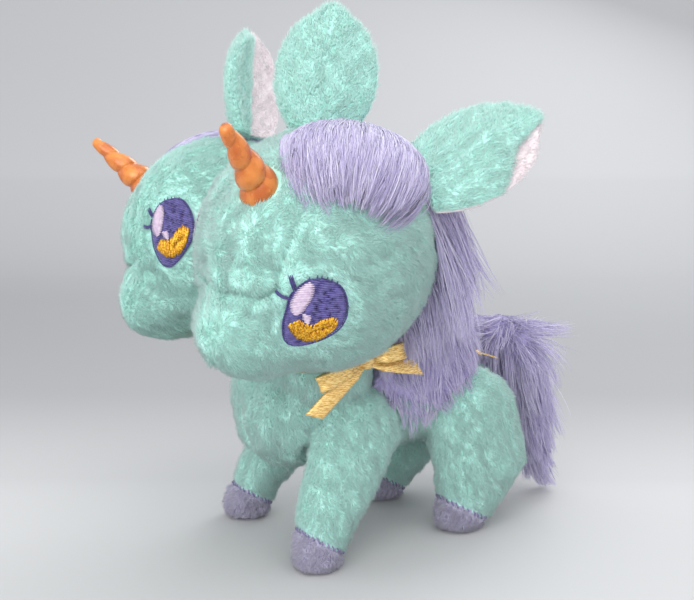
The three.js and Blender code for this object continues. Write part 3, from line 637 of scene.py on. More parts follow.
def eye_threads(place, pairs, lift, jitter=0.12):
    lines = []
    for a, b in pairs:
        a, b = np.asarray(a, float), np.asarray(b, float)
        length = np.linalg.norm(b - a)
        d = (b - a) / max(length, 1e-9)
        a, b = a - d * rng.uniform(0, jitter), b + d * rng.uniform(0, jitter)
        pieces = max(1, round(length / 4.5))
        cuts = np.linspace(0, 1, pieces + 1)
        if pieces > 1:
            cuts[1:-1] += rng.uniform(-0.1, 0.1, pieces - 1)
        for low, high in zip(cuts, cuts[1:]):
            steps = max(4, int(length * (high - low) / 0.8))
            t = np.linspace(low, high, steps)[:, None]
            bow = np.sin(np.linspace(0, math.pi, steps)) * 0.12
            flat = a + (b - a) * t
            line = on_head(flat, place, lift + bow)
            lines.append((line, unit(line)))
    return lines


def side_piece(name, points, faces, material, side, node=None, body=None):
    label = LABELS[side]
    if side < 0:
        faces = faces[:, ::-1]
    obj = mesh_object(f"{name}_{label}", placed(points, side), faces, [material])
    if node:
        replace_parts(obj, node)
    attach(obj, body or f"head_{label}")
    return obj


def on_eye(line, place, lift):
    """A flat line laid on the head, with the outward direction at each point."""
    laid = on_head(line, place, lift)
    return laid, unit(laid)


def rim_and_lashes(place):
    """Short slanted stitches round the eye, the two lashes, and stray stitches at the top."""
    rim = resampled(IRIS + IRIS[:1], 0.25)
    lines = []
    for k in range(0, len(rim) - 5, 4):
        a, b = rim[k], rim[k + 5]
        lines.append(on_eye(a + (b - a) * np.linspace(0, 1, 5)[:, None], place, 1.15))
    for path, wide in LASHES:
        path = resampled(path, 0.5)
        side_step = np.gradient(path, axis=0)
        side_step = unit(np.stack([-side_step[:, 1], side_step[:, 0]], axis=1))
        for offset in np.linspace(-wide / 2, wide / 2, 3):
            lines.append(on_eye(path + side_step * offset, place, 0.95))
    for x in (-1.3, -0.1, 1.5, 2.8, 4.5, -3.4):
        top = 12.8 - 0.04 * x * x - (0.5 if x < -2 else 0)
        lines.append(on_eye(resampled([(x, top - 0.8), (x - 0.1, top + 1.1)], 0.4), place, 0.95))
    return lines


def crescent_pairs():
    """Stitches across the width of the gold crescent."""
    upper = resampled(GLINT[:11], 0.42)
    lower = resampled([GLINT[0]] + GLINT[:10:-1], 0.42)
    pairs = []
    for t in np.linspace(0.02, 0.98, 44):
        a = upper[int(t * (len(upper) - 1))]
        b = lower[int(t * (len(lower) - 1))]
        pairs.append((a + rng.normal(size=2) * 0.12, b + rng.normal(size=2) * 0.12))
    return pairs


def make_eye(place, side):
    label = LABELS[side]

    def add(part, lines, radius, material, node=None):
        points, faces = threads(lines, radius)
        side_piece(f"eye_{place}_{part}", head_to_body(points), faces, material, side, node)

    for part, material in (("iris", THREAD_RIM), ("highlight", THREAD_LIGHT),
                           ("glint", THREAD_GOLD)):
        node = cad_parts[f"eye_{place}_{part}_{label}"]
        node.data.materials.clear()
        node.data.materials.append(material)
    # Dense stitches in the darker rim thread fill the outline under the visible ones; where they
    # show between those, they are painted shade.
    add("backing", eye_threads(place, spans(IRIS, 0, 0.42), 0.45, 0), 0.42, THREAD_RIM,
        f"eye_{place}_iris_{label}")
    add("stitches", eye_threads(place, spans(IRIS, 3, 0.62), 0.95), 0.34, THREAD_IRIS)
    add("rim", rim_and_lashes(place), 0.26, THREAD_RIM)
    add("shine", eye_threads(place, spans(SHINE, 12, 0.5) + spans(SPARK, 20, 0.5), 1.4), 0.3,
        THREAD_LIGHT, f"eye_{place}_highlight_{label}")
    add("gold", eye_threads(place, crescent_pairs(), 1.5, 0.2), 0.34, THREAD_GOLD,
        f"eye_{place}_glint_{label}")


def horn_surface():
    axis = unit(HORN_DIRECTION)
    along = unit(np.cross(axis, [1, 0, 0]))
    across = np.cross(along, axis)
    rows, sides = 120, 72
    points = []
    for row in range(rows + 1):
        t = row / rows
        height = -HORN_ROOT + t * (HORN_LENGTH + HORN_ROOT)
        share = np.clip(height / HORN_LENGTH, 0, 1)
        envelope = HORN_RADIUS * (1 - 0.76 * share ** 0.85)
        cap = math.sqrt(max(0.0, 1 - max(0.0, (height - HORN_LENGTH + 1.6) / 1.6) ** 2))
        foot = smooth_step(-HORN_ROOT, -1.0, height) * 0.25 + 0.75
        angle = np.arange(sides) * 2 * math.pi / sides
        phase = 2 * math.pi * 4.1 * share ** 0.86 - angle
        lobe = np.abs(np.cos(phase / 2)) ** 0.55
        radius = envelope * foot * (0.76 + 0.28 * lobe) * cap
        middle = HORN_FOOT + axis * height + across * 0.5 * math.sin(share * 3)
        points.append(middle + radius[:, None] * (np.cos(angle)[:, None] * across
                                                  + np.sin(angle)[:, None] * along))
    points = np.vstack(points)
    faces = []
    for row in range(rows):
        for k in range(sides):
            a, b = row * sides + k, row * sides + (k + 1) % sides
            faces.append([a, b, b + sides, a + sides])
    ends = np.stack([points[:sides].mean(0), points[-sides:].mean(0)])
    n = len(points)
    tris = [[n, (k + 1) % sides, k] for k in range(sides)]
    tris += [[n + 1, rows * sides + k, rows * sides + (k + 1) % sides] for k in range(sides)]
    quads = np.array(faces)
    every = np.vstack([quads[:, [0, 1, 2]], quads[:, [0, 2, 3]], np.array(tris)])
    return np.vstack([points, ends]), every


def turned_out(points, faces):
    """The faces, flipped if they face in."""
    a, b, c = (points[faces[:, k]] for k in range(3))
    volume = (a * np.cross(b, c)).sum()
    return faces if volume > 0 else faces[:, ::-1]


def ear_frame(ear):
    foot, tip = np.array(ear["foot"], float), np.array(ear["tip"], float)
    length = tip - foot
    face = np.array(ear["face"], float)
    face = unit(face - length * (face @ length) / (length @ length))
    across = unit(np.cross(length, face))
    return foot, length, across, face


def ear_layer(ear, depth, low, high, shrink=1.0, rows=56, columns=40):
    """A cupped leaf at one depth, from its foot to its tip; low and high are its two edges."""
    foot, length, across, face = ear_frame(ear)
    up = np.linspace(0, 1, rows)[:, None]
    low, high = low * np.ones((rows, 1)), high * np.ones((rows, 1))
    v = low + (high - low) * np.linspace(0, 1, columns)[None, :]
    half = (EAR_WIDTH / 2) * np.sin(np.pi * (0.17 + 0.79 * up)) ** 0.66 * shrink
    cup = EAR_CUP * v ** 2 * (1 - 0.6 * up)
    rise = up * (1 - (1 - shrink) * 0.6) - 0.06 * v ** 2 * smooth_step(0.8, 1, up)
    grid = (foot + rise[..., None] * length + (v * half)[..., None] * across
            + (depth + cup)[..., None] * face)
    return grid.reshape(-1, 3), rows, columns


def ear_shell(ear, near, far, low=-1.0, high=1.0, shrink=1.0, puff=0.5, fold=0.0):
    """A closed padded leaf between two depths; fold wraps its front edge over the lining."""
    a, rows, columns = ear_layer(ear, near, low, high, shrink)
    b, _, _ = ear_layer(ear, far, low, high, shrink)
    _, _, _, face = ear_frame(ear)
    v = np.tile(np.linspace(-1, 1, columns), rows)
    u = np.repeat(np.linspace(0, 1, rows), columns)
    b = b + (fold * smooth_step(-0.05, 0.2, v) * smooth_step(1, 0.9, u))[:, None] * face
    crown = puff * (1 - v ** 2) * np.sin(np.pi * np.clip(u, 0, 1)) ** 0.5
    if near < 0:
        # A dart runs up the back from the foot.
        dart = np.exp(-((v + 0.15 - 0.5 * u) / 0.09) ** 2) * smooth_step(0.75, 0.3, u)
        crown = crown - 1.1 * dart
    middle = (a + b) / 2
    edge = smooth_step(0.0, 0.14, 1 - np.abs(v))[:, None] * smooth_step(0, 0.05, 1 - u)[:, None]
    a = middle + (a - middle) * (0.25 + 0.75 * edge) + np.sign(near) * crown[:, None] * face
    b = middle + (b - middle) * (0.25 + 0.75 * edge)
    n = rows * columns
    faces = []

    def at(r, c):
        return r * columns + c

    for r in range(rows - 1):
        for c in range(columns - 1):
            q = [at(r, c), at(r, c + 1), at(r + 1, c + 1), at(r + 1, c)]
            faces += [[q[0], q[1], q[2]], [q[0], q[2], q[3]]]
            faces += [[n + q[0], n + q[2], n + q[1]], [n + q[0], n + q[3], n + q[2]]]
    rim = [(at(0, c + 1), at(0, c)) for c in range(columns - 1)]
    rim += [(at(rows - 1, c), at(rows - 1, c + 1)) for c in range(columns - 1)]
    rim += [(at(r, 0), at(r + 1, 0)) for r in range(rows - 1)]
    rim += [(at(r + 1, columns - 1), at(r, columns - 1)) for r in range(rows - 1)]
    for p, q in rim:
        faces += [[p, q, n + q], [p, n + q, n + p]]
    points = np.vstack([a, b])
    return points, turned_out(points, np.array(faces))


HEAD_POINTS, HEAD_FACES = head_surface()
EYE_ROOMS = {place: eye_axes(place) for place in EYE_SIDES}
GROWN_IRIS = [(x * 1.03, y * 1.02) for x, y in IRIS]


def off_eyes(points):
    """Which points of the head, in its own frame, are clear of the embroidery."""
    clear = np.ones(len(points), bool)
    for place, axes in EYE_ROOMS.items():
        flat = points @ axes[:, :2]
        if place == "inner":
            flat[:, 0] *= -1
        front = points @ axes[:, 2] > 20
        clear &= ~(front & inside(flat, GROWN_IRIS))
    return clear


MUZZLE_TIP = np.array([4, -38, -26.0])
HORN_AXIS = unit(HORN_DIRECTION)


def make_head(side):
    label = LABELS[side]
    skin = side_piece("head_cover", head_to_body(HEAD_POINTS), HEAD_FACES, MINT_SKIN, side)
    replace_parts(skin, f"head_skin_{label}", f"head_stuffing_{label}")
    p, n, _ = scattered(HEAD_POINTS, HEAD_FACES, HEAD_DENSITY)
    body = head_to_body(p)
    keep = off_eyes(p) & (body[:, 0] > 0.4)
    beside = p - HORN_FOOT
    off_axis = np.linalg.norm(beside - (beside @ HORN_AXIS)[:, None] * HORN_AXIS, axis=1)
    keep &= ~((off_axis < HORN_RADIUS - 0.6) & (beside @ HORN_AXIS > -12))
    # Under the neck opening nothing grows.
    keep &= ~((p[:, 2] < -30) & (np.hypot(p[:, 0] + 6, p[:, 1] - 8) < 13))
    p, n = p[keep], n[keep]
    comb = unit(p - MUZZLE_TIP) * 0.75 + np.array([0, 0.25, -0.75])
    away = smooth_step(26, 10, np.linalg.norm(p - MUZZLE_TIP, axis=1))[:, None]
    comb = comb * (1 - away) + away * (unit(p - MUZZLE_TIP) + [0, 0, -0.35])
    roots, direction, lengths = pile(p, n, comb, 2.9, 1.08, 9.0, 40)
    near_face = p[:, 1] < -18
    gap = np.full(len(p), 99.0)
    gap[near_face] = seam_gap(p[near_face])[1]
    lengths *= 0.45 + 0.55 * smooth_step(0.3, 2.2, gap)
    tone = tone_of(p, 5, 50)
    # Hairs right on a seam take the darkest tone: painted shade in the seam's furrow.
    tone = np.where(gap < 0.9, 0, tone)
    # Shorter and lower beside the embroidery, as the stitches press the pile down.
    for place, axes in EYE_ROOMS.items():
        flat = p @ axes[:, :2]
        if place == "inner":
            flat[:, 0] *= -1
        reach = np.linalg.norm(flat / [9.2, 12.4] - [0.0, 0.1], axis=1)
        beside_eye = (p @ axes[:, 2] > 20) & (reach < 1.35)
        lengths[beside_eye] *= 0.62
    radii = hair_radii(len(p))
    hairs = spikes(f"head_pile_{label}", head_to_body(roots), direction @ HEAD_TURN.T, lengths,
                   radii, tone, MINT, side)
    ride_all(hairs, f"head_{label}")
    for place in EYE_SIDES:
        make_eye(place, side)
    points, faces = horn_surface()
    side_piece("horn_spiral", head_to_body(points), turned_out(points, faces), HORN, side,
               f"horn_{label}")


def make_ear(place, side):
    label = LABELS[side]
    ear = EARS[place]
    body = f"ear_{place}_{label}"
    foot, length, across, face = ear_frame(ear)
    inner = place == "inner"
    up = np.linspace(0, 1, 56)[:, None]
    # The inner ears' front edge is folded over the lining; the outer ears' lining shows past
    # the lower edge towards the tip.
    cut_low = -1.0 if inner else -1 + 0.62 * smooth_step(0.42, 0.8, up)
    for part, near, far, low, high, shrink, fold, backing, pile_tones, slot, grow in (
        ("back", -1.9, -0.2, cut_low, 1.0, 1.0, 2.6 if inner else 0.0, MINT_SKIN, MINT,
         "mint_fur", 2.6),
        ("lining", 0.2, 1.3, -1.0, 0.2 if inner else 1.0, 0.98, 0.0, LINING_SKIN, LINING,
         "ear_lining", 1.5),
    ):
        points, faces = ear_shell(ear, near, far, low, high, shrink, fold=fold)
        piece = side_piece(f"ear_{place}_{part}_cover", head_to_body(points), faces, backing,
                           side, f"ear_{place}_{part}_{label}", body)
        p, n, _ = scattered(points, faces, HEAD_DENSITY)
        outward = (n @ face) * (1 if part == "lining" else -1)
        keep = outward > (-0.2 if part == "back" else 0.2)
        if part == "lining" and not inner:
            keep |= (p - foot) @ length > 0.4 * length @ length
        if fold:
            keep |= (p - foot) @ across > 1.0
        p, n = p[keep], n[keep]
        comb = np.tile(unit(length), (len(p), 1)) + 0.25 * across * np.sign(
            (p - foot) @ across)[:, None]
        roots, direction, lengths = pile(p, n, comb, grow, 1.0, 7.0, 60)
        hairs = spikes(f"ear_{place}_{part}_pile_{label}", head_to_body(roots),
                       direction @ HEAD_TURN.T, lengths, hair_radii(len(p)),
                       tone_of(p, len(pile_tones), 70), pile_tones, side)
        ride_all(hairs, body)


# ---- Body ------------------------------------------------------------------------------------

def make_body():
    parts = [node_arrays(n) for n in ("torso_skin", "torso_stuffing")]
    for place, leg in LEGS.items():
        for label, side in SIDES.items():
            for kind in ("leg_PLACE_skin", "leg_PLACE_stuffing", "hoof_PLACE"):
                name = kind.replace("PLACE", place) + f"_{label}"
                parts.append(node_arrays(name))
            pivot = np.array(leg["pivot"], float)
            half = (10.5, leg["reach"] - 1.2, leg["reach"] - 2.5)
            points, faces = ball(pivot - [4, 0, 0], half)
            parts.append((placed(points, side), faces))
    points, faces = fused(parts, (1.3) * MM)
    edges = edges_of(faces)
    points = averaged(points, edges, 34)
    points = unplaced(points)
    for place, leg in LEGS.items():
        for label, side in SIDES.items():
            foot = np.array(FEET[place]) * [side, 1] + [0, leg["stride"] if side < 0 else 0]
            near = np.hypot(points[:, 0] - foot[0], points[:, 1] - foot[1]) < 16
            tuck = 0.16 * smooth_step(6.5, 0, points[:, 2]) * near
            points[:, :2] += (foot - points[:, :2]) * tuck[:, None]
    floor = points[:, 2] < 0.35
    points[floor, 2] = 0.1
    return points, faces


def leg_of(points):
    """Which leg each point belongs to: 0 for the torso, then 1 to 4 as LEG_ORDER."""
    x, y, z = points.T
    owner = np.zeros(len(points), int)
    for index, (place, label) in enumerate(LEG_ORDER, start=1):
        leg, side = LEGS[place], SIDES[label]
        stride = leg["stride"] if label == "right" else 0
        sx = x * side
        beyond = (sx - 9.5) * 0.62 - 0.785 * (z - 31) > 0
        front = y < 12 + stride
        mine = (sx > 0) & (front if place == "front" else ~front)
        low = z < 27
        middle = leg["pivot"][1] + (stride * (1 - z / leg["pivot"][2]))
        beside = np.abs(y - middle) < leg["reach"] * np.clip(1.1 - 0.012 * (z - 27), 0.3, 1.1)
        owner[mine & beyond & (low | beside)] = index
    return owner


LEG_ORDER = [(place, label) for place in LEGS for label in SIDES]
BODY_POINTS, BODY_FACES = make_body()


def hoof_line(points, place, label):
    """Height of points over the slanted seam between a leg and its hoof."""
    y, z, slope = LEGS[place]["hoof"]
    stride = LEGS[place]["stride"] if label == "right" else 0
    rise = math.tan(math.radians(slope))
    return points[:, 2] - (z - (points[:, 1] - (y + stride)) * rise)


def body_detail(points, faces):
    """Seam furrows, hand-sewn unevenness and a soft groove round each leg at its hoof seam."""
    normals = normals_of(points, faces)
    x, y, z = points.T
    soft = 0.34 * waves(points, 15, 8) + 0.17 * waves(points, 6.5, 9)
    chest = np.exp(-(x / 1.3) ** 2) * smooth_step(10, -20, y) * 0.9
    belly = np.exp(-(x / 1.3) ** 2) * smooth_step(45, 38, z) * 0.5
    owner = leg_of(points)
    groove = np.zeros(len(points))
    for index, (place, label) in enumerate(LEG_ORDER, start=1):
        mine = owner == index
        over = hoof_line(points, place, label)
        groove[mine] += 0.55 * np.exp(-(over[mine] / 0.8) ** 2)
    return points + normals * (soft - chest - belly - groove)[:, None]


BODY_POINTS = body_detail(BODY_POINTS, BODY_FACES)
BODY_POINTS[:, 2] = np.maximum(BODY_POINTS[:, 2], 0.25)
FACE_MIDDLE = BODY_POINTS[BODY_FACES].mean(1)
FACE_OWNER = leg_of(FACE_MIDDLE)


def compact(points, faces):
    used, back = np.unique(faces, return_inverse=True)
    return points[used], back.reshape(faces.shape)


def blend_leg(obj, place, label):
    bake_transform(obj)


def under_heads(points):
    """Which points lie inside either head, grown a little."""
    hidden = np.zeros(len(points), bool)
    for side in SIDES.values():
        p = body_to_head(points * [side, 1, 1])
        reach = np.linalg.norm(p, axis=1)
        hidden |= reach < head_radius(unit(p)) - 0.5
    return hidden


def off_floor(roots, directions, lengths):
    """Lays down the hairs whose tips would reach under the floor."""
    lowest = (0.3 - roots[:, 2]) / lengths
    out = directions.copy()
    out[:, 2] = np.maximum(out[:, 2], np.minimum(lowest, 0.3))
    return out


def sew_hooves():
    """Slanted stitches round the seam between each leg and its hoof."""
    count = 30    # stitches round a hoof
    for index, (place, label) in enumerate(LEG_ORDER, start=1):
        patch, faces = compact(BODY_POINTS, BODY_FACES[FACE_OWNER == index])
        normals = normals_of(patch, faces)
        over = hoof_line(patch, place, label)
        band = np.abs(over) < 1.8
        p, n, over = patch[band], normals[band], over[band]
        middle = p[:, :2].mean(0)
        angle = np.arctan2(p[:, 1] - middle[1], p[:, 0] - middle[0])
        lines = []
        for k in range(count):
            ends, outs = [], []
            for level, ahead in ((0.95, 0.0), (-0.95, 0.55)):
                at = (k + ahead) * 2 * math.pi / count - math.pi + rng.normal() * 0.02
                turn_away = np.abs((angle - at + math.pi) % (2 * math.pi) - math.pi)
                near = np.argsort((turn_away * 8) ** 2 + (over - level) ** 2)[:4]
                outs.append(unit(n[near].mean(0)))
                ends.append(p[near].mean(0))
            out = unit(outs[0] + outs[1])
            share = np.linspace(0, 1, 6)[:, None]
            line = ends[0] * (1 - share) + ends[1] * share
            line = line + out * (0.55 + 0.5 * np.sin(np.pi * share))
            lines.append((line, np.tile(out, (6, 1))))
        points, tube_faces = threads(lines, 0.3, sides=5)
        seam = mesh_object(f"hoof_{place}_seam_{label}", placed(points), tube_faces, [SEAM_THREAD])
        blend_leg(seam, place, label)


def dress_body():
    p, n, owner_face = scattered(BODY_POINTS, BODY_FACES, BODY_DENSITY)
    owner = FACE_OWNER[owner_face]
    keep = ~under_heads(p) & (p[:, 2] > 0.8)
    p, n, owner = p[keep], n[keep], owner[keep]
    hoof = np.zeros(len(p), bool)
    over = np.full(len(p), 99.0)
    for index, (place, label) in enumerate(LEG_ORDER, start=1):
        mine = owner == index
        over[mine] = hoof_line(p[mine], place, label)
        hoof |= mine & (over < 0)
    comb = np.array([0, 0.3, -1.0]) + np.zeros((len(p), 3))
    comb[:, 0] += 0.25 * np.sign(p[:, 0]) * smooth_step(60, 40, p[:, 2])
    mint_seam = smooth_step(0.4, 3.4, np.abs(over)) * 0.85 + 0.15
    chest_gap = np.where((p[:, 1] < 10) & (n[:, 1] < 0.2), np.abs(p[:, 0]), 99)
    for index in range(5):
        mine = (owner == index) & ~hoof
        roots, d, lengths = pile(p[mine], n[mine], comb[mine], 2.9, 1.02, 9.0, 80)
        lengths *= mint_seam[mine] * (0.5 + 0.5 * smooth_step(0.2, 2.0, chest_gap[mine]))
        d = off_floor(roots, d, lengths)
        tone = tone_of(p[mine], 5, 90)
        # Hairs along the chest seam take the darkest tone: painted shade in its furrow.
        tone = np.where(chest_gap[mine] < 0.6, 0, tone)
        name = "torso_pile" if index == 0 else "leg_{}_pile_{}".format(*LEG_ORDER[index - 1])
        for h in spikes(name, roots, d, lengths, hair_radii(len(roots)), tone, MINT):
            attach(h, "torso") if index == 0 else blend_leg(h, *LEG_ORDER[index - 1])
    for index, (place, label) in enumerate(LEG_ORDER, start=1):
        mine = (owner == index) & hoof
        q, m = p[mine], n[mine]
        extra, more, _ = scattered(BODY_POINTS, BODY_FACES[FACE_OWNER == index],
                                   HOOF_DENSITY)
        below = (hoof_line(extra, place, label) < -0.4) & (extra[:, 2] > 0.9)
        q, m = np.vstack([q, extra[below]]), np.vstack([m, more[below]])
        down = np.array([0, -0.35, -0.8]) + 0.6 * m
        roots, d, lengths = pile(q, m, down, 3.0, 0.95, 4.0, 120 + index, swirl=1.1)
        lengths *= smooth_step(0.0, 2.4, q[:, 2]) * 0.6 + 0.4
        d = off_floor(roots, d, lengths)
        tone = tone_of(q, 5, 130, 2.5)
        for h in spikes(f"hoof_{place}_pile_{label}", roots, d, lengths,
                        0.14 + 0.06 * rng.random(len(roots)), tone, HOOF):
            blend_leg(h, place, label)


def cover_body():
    for index in range(5):
        mine = FACE_OWNER == index
        points, faces = compact(BODY_POINTS, BODY_FACES[mine])
        if index == 0:
            cover = mesh_object("torso_cover", placed(points), faces, [MINT_SKIN])
            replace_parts(cover, "torso_skin", "torso_stuffing")
            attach(cover, "torso")
            continue
        place, label = LEG_ORDER[index - 1]
        middle = points[faces].mean(1)
        tone = (hoof_line(middle, place, label) < 0).astype(int)
        cover = mesh_object(f"leg_{place}_cover_{label}", placed(points), faces,
                            [MINT_SKIN, HOOF_SKIN], tone)
        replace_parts(cover, f"leg_{place}_skin_{label}", f"leg_{place}_stuffing_{label}",
                    f"hoof_{place}_{label}")
        blend_leg(cover, place, label)


# ---- Hair ------------------------------------------------------------------------------------

def hair_base(node, shrink, under=None):
    """A smooth core inside a hair node, in body millimetres; its side towards under stays."""
    points, faces = fused([node_arrays(node)], 1.6 * MM)
    points = unplaced(averaged(points, edges_of(faces), 20))
    normals = normals_of(points, faces)
    depth = np.full(len(points), float(shrink))
    if under is not None:
        depth *= smooth_step(-0.1, 0.4, (normals * unit(points - np.array(under))).sum(1))
    return points - normals * depth[:, None], faces


def add_core(name, points, faces, side, node, body):
    core = mesh_object(name, placed(points, side), faces if side > 0 else faces[:, ::-1],
                       [LILAC_SKIN])
    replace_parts(core, node)
    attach(core, body)


def head_keep_out(grow):
    """A function that lifts points inside the grown head to its surface."""
    def push(points):
        p = body_to_head(points)
        reach = np.linalg.norm(p, axis=1)
        need = head_radius(unit(p)) + grow
        low = reach < need
        p[low] = unit(p[low]) * need[low][:, None]
        return head_to_body(p)
    return push


def dress_hair(name, roots, normals, flow, length, steps, lift, settle, clump, seed, side, body,
               stray, keep_out=None):
    """Long locks from roots on a core, riding on one body."""
    n = len(roots)
    lengths = length(roots) * rng.uniform(0.6, 1.15, n)
    paths = grown(roots, normals, flow, lengths, steps, lift, settle, clump, seed, stray,
                  keep_out)
    tone = np.clip(np.round(2.5 + 0.9 * waves(roots, 9.0, seed) + rng.normal(size=n) * 1.1),
                   0, 5).astype(int)
    radii = 0.17 * rng.uniform(0.7, 1.2, n)
    ride_all(locks(name, paths, radii, tone, LILAC, side), body)


HAIR_SHARE = 1.0


def make_forelock(side):
    label = LABELS[side]
    points, faces = hair_base("forelock_left", 3.0, HEAD_CENTRE)
    add_core(f"forelock_core_{label}", points, faces, side, f"forelock_{label}", f"head_{label}")
    p, n, _ = scattered(points, faces, 2.6 * HAIR_SHARE)
    h = body_to_head(p)
    keep = (n[:, 2] > -0.2) & (h[:, 1] > -24)
    p, n = p[keep], n[keep]

    goal = head_to_body([[29, -13, 22]])[0]

    def flow(q):
        local = body_to_head(q)
        crown = unit(local - np.array([-10, 16, 30]))
        down = tangent(crown * 0.6 + np.array([0.35, -0.5, -0.75]), unit(local))
        return unit(0.7 * down @ HEAD_TURN.T + 0.9 * unit(goal - q))

    def reach(r):
        far = np.linalg.norm(goal - r, axis=1)
        return np.clip(far * 0.8, 8, 27) * rng.uniform(0.5, 1.1, len(r))

    off_head = head_keep_out(0.8)
    # The locks lie over the core at slightly different heights.
    middle = np.array([6, 3, 31.0])
    half = np.array([22.4, 22.4, 12.2]) + 1.1 * rng.random((len(p), 1))

    def off_core(q):
        local = (body_to_head(q) - middle) / half
        depth = np.linalg.norm(local, axis=1, keepdims=True)
        raised = head_to_body(local / np.maximum(depth, 1e-6) * half + middle)
        return off_head(np.where(depth < 1, raised, q))

    dress_hair(f"forelock_locks_{label}", p, n, flow, reach, steps=10, lift=0.45, settle=0.35,
               clump=22, seed=201, side=side, body=f"head_{label}", stray=0.1, keep_out=off_core)


def make_mane(side):
    label = LABELS[side]
    points, faces = hair_base("mane_left", 3.2, HEAD_CENTRE)
    add_core(f"mane_core_{label}", points, faces, side, f"mane_{label}", f"head_{label}")
    p, n, _ = scattered(points, faces, 0.62 * HAIR_SHARE)
    keep = (n[:, 1] > -0.35) & (p[:, 0] > 1)
    p, n = p[keep], n[keep]

    def flow(q):
        out = np.zeros_like(q)
        out[:, 2] = -1
        out[:, 1] = 0.22 - 0.35 * smooth_step(100, 60, q[:, 2])
        out[:, 0] = 0.1
        return unit(out)

    def reach(r):
        return 12 + 26 * smooth_step(60, 130, r[:, 2])

    dress_hair(f"mane_locks_{label}", p, n, flow, reach, steps=12, lift=0.35, settle=0.28,
               clump=26, seed=211, side=side, body=f"head_{label}", stray=0.14,
               keep_out=head_keep_out(1.0))


def make_back_mane():
    points, faces = hair_base("mane_back", 4.0, (0, 15, 45))
    add_core("mane_back_core", points, faces, 1, "mane_back", "torso")
    p, n, _ = scattered(points, faces, 0.55 * HAIR_SHARE)
    keep = n[:, 1] > -0.6
    p, n = p[keep], n[keep]

    def flow(q):
        out = np.zeros_like(q)
        out[:, 2] = -1
        out[:, 1] = 0.3 * smooth_step(10, 40, q[:, 1])
        out[:, 0] = 0.3 * np.tanh(q[:, 0] / 12)
        return unit(out)

    def reach(r):
        return 8 + 14 * smooth_step(55, 100, r[:, 2])

    dress_hair("mane_back_locks", p, n, flow, reach, steps=11, lift=0.4, settle=0.3, clump=26,
               seed=221, side=1, body="torso", stray=0.15)


def make_tail():
    points, faces = hair_base("tail_hair", 3.6)
    add_core("tail_core", points, faces, 1, "tail_hair", "tail")
    p, n, _ = scattered(points, faces, 0.85 * HAIR_SHARE)

    def flow(q):
        out = np.zeros_like(q)
        top = smooth_step(58, 72, q[:, 2])
        out[:, 2] = -1 + 0.9 * top
        out[:, 1] = 0.05 + 0.5 * smooth_step(30, 5, q[:, 2]) + top * 0.09 * (q[:, 1] - 70)
        out[:, 0] = 0.02 * q[:, 0] + top * 0.07 * q[:, 0]
        return unit(out)

    def above_floor(q):
        q[:, 2] = np.maximum(q[:, 2], 1.0)
        return q

    def reach(r):
        return 12 + 12 * smooth_step(8, 70, r[:, 2])

    dress_hair("tail_locks", p, n, flow, reach, steps=10, lift=0.8, settle=0.3, clump=18,
               seed=231, side=1, body="tail", stray=0.2, keep_out=above_floor)


# ---- Ribbons ---------------------------------------------------------------------------------

RIBBON_THICK = 0.3
RIBBON_CUTS = 7    # points across a ribbon


def strip(name, line, facing, widths, bow):
    """A ribbon along a line: facing is the broad side's normal at each point. Closed."""
    line = np.asarray(line, float)
    n = len(line)
    d = unit(np.gradient(line, axis=0))
    facing = np.broadcast_to(np.asarray(facing, float), line.shape)
    facing = tangent(facing, d)
    across = np.cross(d, facing)
    widths = np.broadcast_to(np.asarray(widths, float), n)
    v = np.linspace(-1, 1, RIBBON_CUTS)
    sheet_points = (line[:, None] + across[:, None] * (widths[:, None] / 2 * v)[..., None]
                    + facing[:, None] * (bow * (1 - v ** 2))[None, :, None])
    top = sheet_points + facing[:, None] * RIBBON_THICK / 2
    low = sheet_points - facing[:, None] * RIBBON_THICK / 2
    points = np.vstack([top.reshape(-1, 3), low.reshape(-1, 3)])
    m, k = n * RIBBON_CUTS, RIBBON_CUTS
    faces = []
    for r in range(n - 1):
        for c in range(k - 1):
            q = [r * k + c, r * k + c + 1, (r + 1) * k + c + 1, (r + 1) * k + c]
            faces += [q, [m + i for i in reversed(q)]]
    rim = [(c, c + 1) for c in range(k - 1)]
    rim += [((n - 1) * k + c + 1, (n - 1) * k + c) for c in range(k - 1)]
    rim += [((r + 1) * k, r * k) for r in range(n - 1)]
    rim += [(r * k + k - 1, (r + 1) * k + k - 1) for r in range(n - 1)]
    for p, q in rim:
        faces.append([q, p, m + p, m + q])
    faces = np.array(faces)
    tris = np.vstack([faces[:, [0, 1, 2]], faces[:, [0, 2, 3]]])
    if turned_out(points, tris) is not tris:
        faces = faces[:, ::-1]
    obj = mesh_object(name, placed(points), faces, [RIBBON])
    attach(obj, "torso")
    return obj


def bezier(points, count):
    """A smooth line through a few points."""
    points = np.asarray(points, float)
    at = np.linspace(0, len(points) - 1, count)
    padded = np.vstack([2 * points[0] - points[1], points, 2 * points[-1] - points[-2]])
    out = []
    for t in at:
        i = min(int(t), len(points) - 2)
        u = t - i
        p0, p1, p2, p3 = padded[i:i + 4]
        out.append(0.5 * (2 * p1 + (p2 - p0) * u + (2 * p0 - 5 * p1 + 4 * p2 - p3) * u * u
                          + (3 * p1 - p0 - 3 * p2 + p3) * u ** 3))
    return np.array(out)


